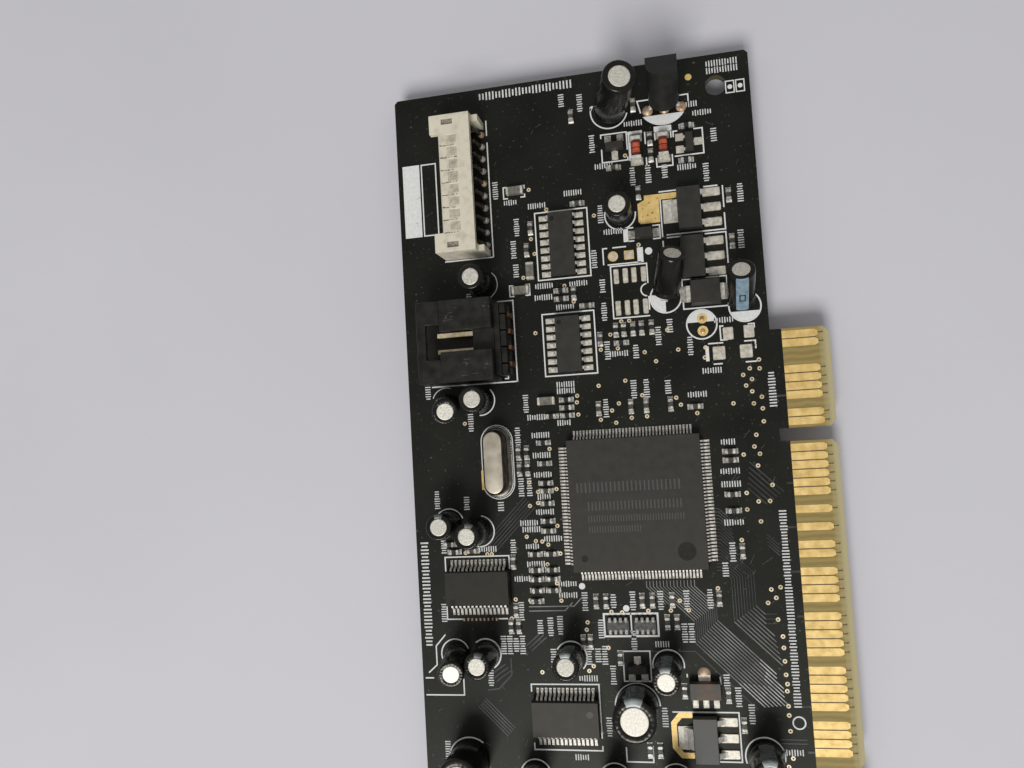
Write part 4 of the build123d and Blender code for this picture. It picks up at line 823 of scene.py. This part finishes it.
for x in (-11.2, -9.7):
    rectangle(x - 0.6, 114.7, x + 0.6, 116.5, 0.16)
    ink.disc(x, 115.6, 0.35, 0, INK)
piece("print", ink, "white_nylon", "print_white")
piece("label_strokes", worn, "white_nylon", "print_worn")

# Bare gold and tinned pads: contacts, empty places and copper areas
CONTACT_PITCH, CONTACTS, CONTACT_TIP = 1.27, 62, -1.65
KEYS = (12, 13, 50, 51)
BLANKS = (14, 19, 25, 31, 36, 39, 41, 43, 54, 59, 60)
CONTACT_SIDE = [(MASK_EDGE, 0.55), (CONTACT_TIP - 0.45, 0.55), (CONTACT_TIP, 0.3)]
gaps, via_rings = shapes(2)
for name, missing, low, thin in (
    ("component", KEYS + BLANKS, 0, (0, 0.02)),
    ("solder", KEYS, BOARD_BOTTOM - PAD, (BOARD_BOTTOM - 0.045, BOARD_BOTTOM - 0.02)),
):
    fingers = Shape()
    for number in range(1, CONTACTS + 1):
        if number in missing:
            continue
        y = (number - 1) * CONTACT_PITCH
        outline = [(x, y - v) for x, v in CONTACT_SIDE] + [(x, y + v) for x, v in reversed(CONTACT_SIDE)]
        fingers.prism(outline, low, low + PAD)
        # Dark strips in the gaps between neighbouring fingers are painted shade; a short one also runs out from each
        # tip
        gaps.plate(CONTACT_TIP + 0.35, y, 0.72, 0.16, *thin)
        if number + 1 not in missing and number < CONTACTS:
            middle, length = (MASK_EDGE + CONTACT_TIP) / 2 - 0.1, CONTACT_TIP - MASK_EDGE - 0.4
            gaps.plate(middle, y + CONTACT_PITCH / 2, length, 0.17, *thin)
    piece(f"{name}_fingers", fingers, "gold_plate", stands_for=[f"{name}_contacts"])
piece("contact_gaps", gaps, "solder_mask", "contact_gap")
for x, y, width, depth in (
    (-14.2, 78.3, 1.5, 1.9), (-11.2, 78.4, 1.5, 1.9), (-15.7, 75.5, 1.8, 2.0), (-11.8, 75.5, 1.8, 2.0),
):
    pads.pad(x, y, width, depth, 0.14, 0.12)
gold.disc(-30.4, 91.6, 0.78, 0, 0.1, 24)
pads.disc(-30.4, 91.6, 0.6, 0.1, 0.13, 24)
gold.block((-28.7, 90.9, 0), (-27.2, 92.3, 0.14), 0.1)
pads.block((-28.58, 91.02, 0), (-27.32, 92.18, 0.17), 0.08)
for x in (-30.1, -28.7, -27.4, -25.95):
    for y in (88.45, 83.5):
        pads.pad(x, y, 0.8, 2.3, 0.16, 0.14)
gold.prism(
    [
        (-26.15, 96.5), (-25.8, 96.15), (-22.9, 96.15), (-22.9, 99.6), (-19.95, 99.6), (-19.95, 100.5),
        (-25.1, 100.5), (-25.1, 99.8), (-26.15, 99.3),
    ],
    0, COPPER,
)
gold.ribbon(
    [(-23.35, 22.75), (-25.1, 22.75), (-26.1, 21.6), (-26.1, 18.2), (-25.1, 17.0), (-23.35, 17.0)], 0.8, 0, COPPER
)
gold.plate(-52.9, 58.4, 0.5, 3.0, 0, COPPER)
gold.disc(-17.2, 118.0, 0.5, 0, COPPER)
for y in (80.9, 79.0):
    gold.arc(-17.8, y, 0.55, 0.45, 0, 360, 0, COPPER, 20)
    fills.lathe(at(-17.8, y), [(0.4, 0), (0.36, 0.05), (0.2, 0.1), (0.05, 0.11)], 20)
VIAS = pairs(
    -33.2, 77.4, -30.6, 77.4, -26.6, 76.5, -21.6, 76.5, -17.6, 76.5, -17.8, 75.0, -25.0, 75.0, -10.1, 74.1,
    -11.5, 72.9, -10.1, 72.8, -12.5, 72.0, -11.3, 71.3, -12.2, 70.4, -11.4, 69.5, -10.1, 68.6, -11.3, 67.7,
    -10.1, 66.9, -10.1, 65.0, -11.3, 63.1, -14.2, 67.9, -19.5, 66.8, -33.9, 71.9, -29.8, 72.4, -27.4, 70.0,
    -22.4, 69.3, -21.8, 68.2, -31.0, 69.0, -32.1, 68.0, -33.9, 66.7, -29.2, 66.7, -26.9, 66.8, -31.6, 66.1,
    -37.3, 70.6, -37.4, 69.6, -37.3, 67.7, -11.7, 61.4, -11.0, 60.3, -13.3, 60.3, -11.4, 58.6, -9.6, 55.7,
    -13.3, 54.7, -11.7, 53.4, -10.1, 53.4, -13.4, 52.3, -11.6, 50.5, -14.5, 47.9, -41.6, 50.9, -46.5, 49.4,
    -45.1, 48.7, -44.1, 48.6, -43.2, 48.1, -41.4, 46.7, -43.5, 45.1, -42.2, 42.2, -48.8, 39.9, -46.5, 39.7,
    -41.7, 39.6, -34.2, 37.8, -32.6, 37.7, -28.7, 37.9, -25.4, 37.9, -24.0, 39.3, -22.8, 37.9, -18.4, 41.0,
    -37.9, 36.3, -38.1, 35.2, -35.0, 32.5, -37.4, 29.8, -38.1, 29.1, -45.3, 28.9, -10.3, 36.4, -9.8, 34.0,
    -9.8, 32.4, -9.8, 30.5, -9.8, 28.6, -9.7, 27.3, -9.8, 26.3, -9.8, 24.2, -9.8, 22.9, -9.8, 20.7, -9.7, 16.9,
    -10.4, 15.7, -56.4, 47.2, -52.9, 46.9, -52.2, 46.9, -49.6, 37.0, -42.6, 93.3, -38.2, 87.8, -36.9, 85.2,
    -43.2, 80.8, -29.8, 81.5, -23.0, 79.6, -32.9, 98.3, -43.0, 95.7, -55.4, 67.4, -42.1, 62.7, -45.6, 57.7,
    -44.3, 56.2, -41.4, 56.5, -44.4, 54.5, -45.7, 54.1, -10.9, 40.7, -9.6, 41.0, -10.3, 39.5, -11.5, 38.8,
    -40.3, 100.1, -44.6, 89.7, -28.6, 81.5, -31.6, 79.6, -27.5, 107.1, -26.4, 93.0, -42.9, 103.6,
)
for x, y in VIAS:
    for low in (0, BOARD_BOTTOM - COPPER):
        via_rings.arc(x, y, 0.225, 0.19, 0, 360, low, low + COPPER, 12)
piece("bare_gold", gold, "gold_plate")
piece("via_rings", via_rings, "gold_plate", "via_ring")

# Traces under the mask: dull, bright where they catch the light, and half bright; the bright and half-bright colours
# are painted shine
bright, half_bright = shapes(2)
TRACE_HIGH = COPPER * 0.8


def trace(*flat, width=0.2, low=0.0, shape=copper):
    """One copper line under the mask, on either face, from X and Y in turn."""
    shape.ribbon(pairs(*flat), width, low, low + TRACE_HIGH)


# Bundles from the processor's leads to the connector
for i in range(3):
    lead = -28.7 + 0.5 * i
    trace(lead, 42.3, lead, 41.4, lead + 2.6, 38.8, width=0.1, shape=half_bright)
for i in range(12):
    lead, down, turn = -27.2 + 0.5 * i, -22.1 + 0.299 * i, 33.1 + 0.299 * i
    low_turn = 41.4 - down + lead
    trace(lead, 42.3, lead, 41.4, down, low_turn, width=0.1, shape=half_bright)
    trace(down, low_turn, down, turn + 0.05, width=0.13)
    if i < 7:
        end = down + turn - 24.0 - 0.05 * i
    else:
        end = -10.25 if i < 10 else -11.1
    shine = end - 3.4 + 0.12 * i
    trace(down, turn, shine, turn - shine + down, width=0.12, shape=half_bright)
    trace(shine, turn - shine + down, end, turn - end + down, width=0.12, shape=bright)
trace(-33.9, 31.95, -22.3, 31.95, -14.0, 23.65, width=0.13)
for i in range(9):
    level, down, turn = 43.6 + 0.5 * i, -16.4 + 0.4 * i, 36.15 + 0.28 * i
    end = -10.15 - 0.15 * i if i < 6 else -12.0
    low_end = turn - end + down
    trace(-18.3, level, -17.6, level, down, level - down - 17.6, down, turn + 0.05, width=0.09)
    trace(down, turn, end, low_end, width=0.12, shape=half_bright)
    if i > 5:
        trace(end, low_end, -10.4, low_end, width=0.12)
for i in range(10):
    level, run = 52.6 - 0.5 * i, 1.3 + 0.12 * i
    trace(-18.3, level, -17.5, level, -17.5 + run, level - run, width=0.15)
# Shorter bundles: count, step in X and Y, width and the first line's points
for count, dx, dy, width, *first in (
    (4, 0, -0.5, 0.15, -10.9, 48.6, -9.3, 47.0),
    (6, 0.32, -0.32, 0.14, -53.5, 48.5, -46.5, 55.5),
    (3, 0.38, -0.38, 0.22, -47.5, 32.9, -45.1, 34.9),
    (3, 0.4, -0.5, 0.18, -53.3, 28.5, -52.4, 29.2, -51.0, 30.1),
    (1, 0, 0, 0.2, -54.0, 26.2, -52.2, 26.4, -50.1, 28.5, -50.1, 31.0),
    (5, 0.3, 0.3, 0.15, -55.6, 23.7, -51.2, 19.3),
    (2, 0, -0.55, 0.13, -11.3, 19.5, -7.6, 19.5),
):
    for i in range(count):
        trace(*(value + i * (dy if k % 2 else dx) for k, value in enumerate(first)), width=width)
for i in range(6):
    trace(-12.6 - 0.1 * i, 59.2 - 0.75 * i, -8.1 - 0.5 * i, 54.7 - 0.35 * i, width=0.15)
for i in range(9):
    fills.block((-57.35 + 0.65 * i, 36.7, 0), (-57.05 + 0.65 * i, 37.15, 0.08), 0.06)
for level, end in ((38.75, -39.8), (38.1, -41.2)):
    trace(-46.8, level, end, level, end + 1.2, level + 1.2, width=0.15, shape=half_bright)
for number in range(5, CONTACTS + 1, 5):
    if number not in KEYS + BLANKS:
        y = (number - 1) * CONTACT_PITCH
        trace(MASK_EDGE - 0.05, y, -7.6 - (number % 3) * 0.6, y, width=0.3)
# Solder face
for i in range(26):
    y = -24.0 + i * 5.4
    turns = (-60.0 + i % 5, y, -48.0, y + 1.5, -44.0 + i % 7, y + 1.5)
    trace(*turns, -36.0 + i % 7, y + 9.5, -14.0 - i % 6, y + 9.5, width=0.3, low=BOARD_BOTTOM - TRACE_HIGH)
piece("traces", copper, "solder_mask", "masked_copper")
piece("traces_painted_shine", bright, "solder_mask", "masked_copper_painted_shine")
piece("traces_painted_half_shine", half_bright, "solder_mask", "masked_copper_painted_half_shine")

# Wear: scratches on the mask, scuffs and dust on the black header, spots on the bare copper area
scratches, scuffs, spots = shapes(3)
draw = random.Random(41)
SCRATCHES = [(-41.8, 112.8, 0.9, 65), (-48.1, 90.5, 0.8, -55), (-51.0, 91.3, 0.5, 40)]
# Scattered ones: count and limits of place, length and heading
for count, *limits in (
    (70, (-63, -9), (8, 120), (0.3, 1.3), (-70, 70)), (40, (-20, -9), (42, 78), (0.3, 1.6), (20, 70)),
):
    SCRATCHES += [[draw.uniform(*limit) for limit in limits] for _ in range(count)]
for x, y, length, turn in SCRATCHES:
    run, rise = on_circle(0, 0, length / 2, turn)
    scratches.ribbon([(x - run, y - rise), (x + run, y + rise)], 0.05, 0, INK)
piece("scratches", scratches, "solder_mask", "mask_scratch")
SCUFF = (A_TOP - 0.01, A_TOP + 0.008)
for _ in range(7):
    x, y = draw.uniform(-57, -50), draw.choice((draw.uniform(74.2, 77.2), draw.uniform(82.8, 85.8)))
    length = draw.uniform(0.2, 1.8)
    scuffs.plate(x, y, min(length, 2 * (x + 57.5)), draw.uniform(0.04, 0.11), *SCUFF)
for x, y in ((-49.7, 75.9), (-55.6, 83.7), (-49.7, 84.8), (-52.9, 76.3)):
    for _ in range(9):
        u, v = x + draw.gauss(0, 0.3), y + draw.gauss(0, 0.3)
        scuffs.disc(u, v, draw.uniform(0.03, 0.1), *SCUFF, 8)
piece("header_scuffs", scuffs, "black_nylon", "mask_scratch")
for x, y in ((-25.4, 98.5), (-24.7, 97.4), (-24.0, 97.7), (-23.6, 96.8), (-25.5, 97.2), (-24.4, 99.3), (-23.1, 99.9)):
    spots.disc(x, y, draw.uniform(0.07, 0.13), 0, COPPER + 0.01, 8)
piece("pad_spots", spots, "gold_plate", "tarnished_pin")

# Package marks and dimples
dimples, marks = shapes(2)
CHIP_TOP = 1.5
for x, y, radius, top in (
    (-37.5, 46.0, 0.5, CHIP_TOP), (-22.4, 46.7, 1.35, CHIP_TOP), (-58.4, 39.9, 0.5, 1.85),
    (-39.3, 98.2, 0.35, 1.65), (-39.2, 82.0, 0.35, 1.65),
):
    dimples.disc(x, y, radius, top - 0.02, top + 0.012, 24)
marks.disc(-38.2, 23.2, 0.5, 1.83, 1.86, 24)
piece("package_dimples", dimples, "mould_compound", "mould_dimple")
for y, start, end, height in (
    (56.6, -38.3, -22.7, 1.5), (53.8, -36.7, -22.5, 1.3), (51.9, -36.7, -22.3, 0.95), (50.3, -36.7, -28.9, 0.95),
):
    step = 0.42 * height
    for i in range(round((end - start) / step)):
        marks.plate(start + (i + 0.5) * step, y, 0.15 * height, height, CHIP_TOP - 0.01, CHIP_TOP + 0.01)
piece("package_marks", marks, "mould_compound", "faded_mark")

# Solder: tails, wires and feet
JOINT, LONG_PIN = 0.7, 1.6
TRANSISTOR_Y, TRANSISTOR_WIRES = 113.6, [-21.1 + step * INCH_TENTH for step in (-1, 0, 1)]
JACK_Y, JACKS = -36.5, (-49.0, -36.3, -23.6)


def joint(x, y, radius=0.75, pin=0.3):
    """Solder cone round a pin on the underside."""
    cone = [(1, 0), (0.98, 0.05), (0.7, JOINT * 0.35), (0.48, JOINT * 0.7), (0.4, JOINT)]
    tip = [(0.36, JOINT + pin), (0.25, JOINT + pin + 0.08)]
    solder.lathe(at(x, y, BOARD_BOTTOM) @ FLIP, [(radius * share, z) for share, z in cone + tip], 16)


for (radius, _), x, y, *_ in CAPACITORS:
    joint(x, y - radius / 2, 0.7)
    joint(x, y + radius / 2, 0.7)
for y in PANEL_PINS:
    joint(BACK + 0.45, y, pin=LONG_PIN)
for y in AUDIO_PINS:
    joint(TAIL_X, y, 0.85, LONG_PIN)
for x in TRANSISTOR_WIRES:
    joint(x, TRANSISTOR_Y, pin=LONG_PIN)
for reach in (-2.44, 2.44):
    joint(CRYSTAL_X, CRYSTAL_Y + reach)
for x in JACKS:
    for dx, dy in ((-2.5, 3.5), (2.5, 3.5), (0, 7.0), (-2.5, 11.0), (2.5, 11.0)):
        joint(x + dx, JACK_Y + dy, 1.0)
for i, y in enumerate(PANEL_PINS):
    mound = fills if i in (5, 9) else solder
    mound.lathe(at(BACK + 0.5, y), [(0.56, 0), (0.54, 0.1), (0.42, 0.25), (0.32, 0.45), (0.2, 0.5)], 16)
feet, array_ends, bead_ends, glass, glass_ends = shapes(5)
for x in TRANSISTOR_WIRES:
    feet.lathe(at(x, TRANSISTOR_Y), [(0.82, 0), (0.8, 0.08), (0.66, 0.2), (0.45, 0.36), (0.3, 0.55)], 20)
piece("round_transistor_feet", feet, "tin_plate", "copper_solder")
for x, y, depth in ((-18.5, 97.6, 3.65), (-18.5, 90.15, 3.65), (-21.65, 19.55, 3.35)):
    pads.pad(x - 2.7, y, 2.4, depth, 0.12, 0.05)
    for step in (-2.3, 0, 2.3):
        pads.pad(x + 3.365, y + step, 2.63, 1.3, 0.16, 0.14)
for x in (-22.75, -21.25, -19.75):
    solder.plate(x, 24.6, 0.8, 1.6, 0, PAD)
fills.lathe(at(-21.25, 28.75), [(0.98, 0), (0.95, 0.12), (0.8, 0.26), (0.5, 0.38), (0.2, 0.42)], 24)
for x in (-33.3, -29.3):
    for step in (-1.2, -0.4, 0.4, 1.2):
        for y in (34.94, 36.66):
            array_ends.pad(x + step, y, 0.52, 0.8, 0.63, 0.12)
piece("array_ends", array_ends, "tin_plate", "array_end")
for x, y, width, depth in (
    (-20.0, 84.7, 1.4, 2.4), (-14.1, 84.7, 1.4, 2.4), (-27.3, 94.65, 1.2, 1.3), (-23.7, 94.65, 1.2, 1.3),
    (-25.75, 109.6, 1.9, 1.2), (-25.75, 105.9, 1.9, 1.2), (-21.65, 109.6, 1.9, 1.2), (-21.65, 105.9, 1.9, 1.2),
    (-30.0, 110.0, 1.0, 1.1), (-28.1, 110.0, 1.0, 1.1), (-30.8, 30.7, 1.0, 1.1), (-31.75, 28.1, 1.0, 1.1),
    (-29.85, 28.1, 1.0, 1.1),
):
    solder.plate(x, y, width, depth, 0, PAD)
for x, y, width, depth in (
    (-29.05, 107.3, 1.0, 1.4), (-19.2, 108.85, 1.2, 1.15), (-19.2, 106.95, 1.2, 1.15), (-16.4, 107.9, 1.3, 1.15),
):
    pads.pad(x, y, width, depth, 0.13, 0.06)
for reach in (-1.14, 1.14):
    for x, y in ((-45.1, 103.6), (-45.1, 87.7), (-42.1, 70.1)):
        bead_ends.pad(x + reach, y, 0.44, 1.24, 0.93, 0.1)
    bead_ends.pad(-43.4, 90.6 + reach, 1.24, 0.44, 0.93, 0.1)
piece("bead_ends", bead_ends, "tin_plate", "tinned_pad")
for x in (-25.75, -21.65):
    place = at(x, 107.75, 0.73) @ LIE
    glass.lathe(place, [(0.5, -1.25), (0.64, -1.2), (0.67, -1.0), (0.64, 0), (0.67, 1.0), (0.64, 1.2), (0.5, 1.25)], 24)
    for low, high in ((-1.2, -0.7), (-0.1, 0.1), (0.7, 1.2)):
        glass_ends.lathe(place, [(0.6, low), (0.685, low + 0.06), (0.685, high - 0.06), (0.6, high)], 24)
piece("diode_glass", glass, "red_glass", stands_for=["glass_diodes"])
piece("diode_glass_ends", glass_ends, "red_glass", "glass_end")
piece("solder", solder, "tin_plate", "solder")
piece("copper_solder", fills, "tin_plate", "copper_solder")
piece("tinned_pads", pads, "tin_plate", "tinned_pad")

# Screws of the bracket's ears, with their heads on the solder side and crossed slots
SCREW_Y, SCREW_IN, HEAD, EAR = -32.5, 3.2, 1.75, 0.86
screws, slots = shapes(2)
for x in (TOP_EDGE + SCREW_IN, TAB_ROOT - SCREW_IN):
    head = [(2.7, 0), (2.75, 0.5), (2.5, 1.2), (1.8, 1.65), (0.5, HEAD)]
    screws.lathe(at(x, SCREW_Y, BOARD_BOTTOM) @ FLIP, head, 32)
    screws.lathe(at(x, SCREW_Y, EAR), [(1.6, -0.02), (1.6, 0.02), (1.25, 0.03), (1.2, 0.5), (0.9, 0.65)], 24)
    top = BOARD_BOTTOM - HEAD
    for across in ((3.0, 0.55), (0.55, 3.0)):
        slots.plate(x, SCREW_Y, *across, top - PAST, top + 0.9)
piece("bracket_screws", screws, "tin_plate", cuts=slots, bevel=0.04)

# Jacks: housings with softened edges, a stepped nose and grooves
JACK_AXIS, JACK_LENGTH, JACK_HALF, JACK_TOP = 4.2, 14.0, 4.3, 8.0
JACK_REAR = JACK_Y + JACK_LENGTH + PAST
for number, (x, slot) in enumerate(zip(JACKS, ("pink_plastic", "blue_plastic", "green_plastic")), 1):
    jack, hollows = shapes(2)
    mouth = at(x, JACK_Y, JACK_AXIS) @ LIE
    jack.box((x - JACK_HALF, x + JACK_HALF), (JACK_Y, JACK_Y + JACK_LENGTH), (0, JACK_TOP))
    jack.lathe(mouth, [(3.0, -0.5), (3.0, 2.05), (2.8, 2.3)], 48)
    hollows.lathe(mouth, [(1.8, -11.2), (1.8, 1.85), (2.35, 2.4), (2.35, 3.0)], 48)
    for side in (-1, 1):
        groove, flank = x + side * 2.2, x + side * JACK_HALF
        hollows.box((groove - 0.25, groove + 0.25), (JACK_Y + 2.0, JACK_REAR), (JACK_TOP - 0.3, JACK_TOP + PAST))
        for start in (3.0, 9.4):
            hollows.box((flank - 0.3, flank + 0.3), (JACK_Y + start, JACK_Y + start + 2.2), (-PAST, 3.4))
    hollows.box((x - 2.6, x + 2.6), (JACK_Y + 13.6, JACK_REAR), (-PAST, 6.0))
    piece(f"jack_{number}_housing", jack, slot, None, [f"jack_{number}"], hollows, 0.14)

# Floor, which the longest pins and the bracket's lower edge rest on
FLOOR_REACH, FLOOR_Z = 1200, BOARD_BOTTOM - 2.41
floor_mesh = bpy.data.meshes.new("floor")
corners = [(x * FLOOR_REACH * MM, y * FLOOR_REACH * MM, FLOOR_Z * MM) for x, y in ((-1, -1), (1, -1), (1, 1), (-1, 1))]
floor_mesh.from_pydata(corners, [], [(0, 1, 2, 3)])
floor_mesh.materials.append(
    surface("table", (0.58, 0.568, 0.595), (0.605, 0.593, 0.62), (0.6, 0.7), spot=60, grain=0.6, bump=0.05)
)
floor = show("floor", floor_mesh)

# Camera, at the place and angle that the photo was taken from
CAMERA_AT = (-20.77, 64.49, 125.26)
CAMERA_TURN = (3.148, 12.214, -3.416)
CAMERA_LENS = 28.82
camera_data = bpy.data.cameras.new("camera")
camera_data.sensor_fit = "HORIZONTAL"
camera_data.sensor_width = 36
camera_data.lens = CAMERA_LENS
camera_data.clip_start = 0.001
camera = show("camera", camera_data)
camera.location = Vector(CAMERA_AT) * MM
camera.rotation_euler = Euler([math.radians(turn) for turn in CAMERA_TURN])
bpy.context.scene.camera = camera

# Light: one soft square lamp and an even room
LAMP_AT, LAMP_TARGET = Vector((-160, -720, 900)), Vector((-30, 50, 0))
LAMP_SIZE, LAMP_WATTS = 500, 11.4
light = bpy.data.lights.new("key", "AREA")
light.shape = "SQUARE"
light.size = LAMP_SIZE * MM
light.energy = LAMP_WATTS
lamp = show("key", light)
lamp.location = LAMP_AT * MM
lamp.rotation_euler = (LAMP_AT - LAMP_TARGET).to_track_quat("Z", "Y").to_euler()
world = bpy.data.worlds.new("room")
world.use_nodes = True
room = world.node_tree.nodes["Background"]
room.inputs["Color"].default_value = (0.95, 0.95, 0.97, 1)
room.inputs["Strength"].default_value = 0.38
bpy.context.scene.world = world
bpy.context.scene.view_settings.view_transform = "Standard"
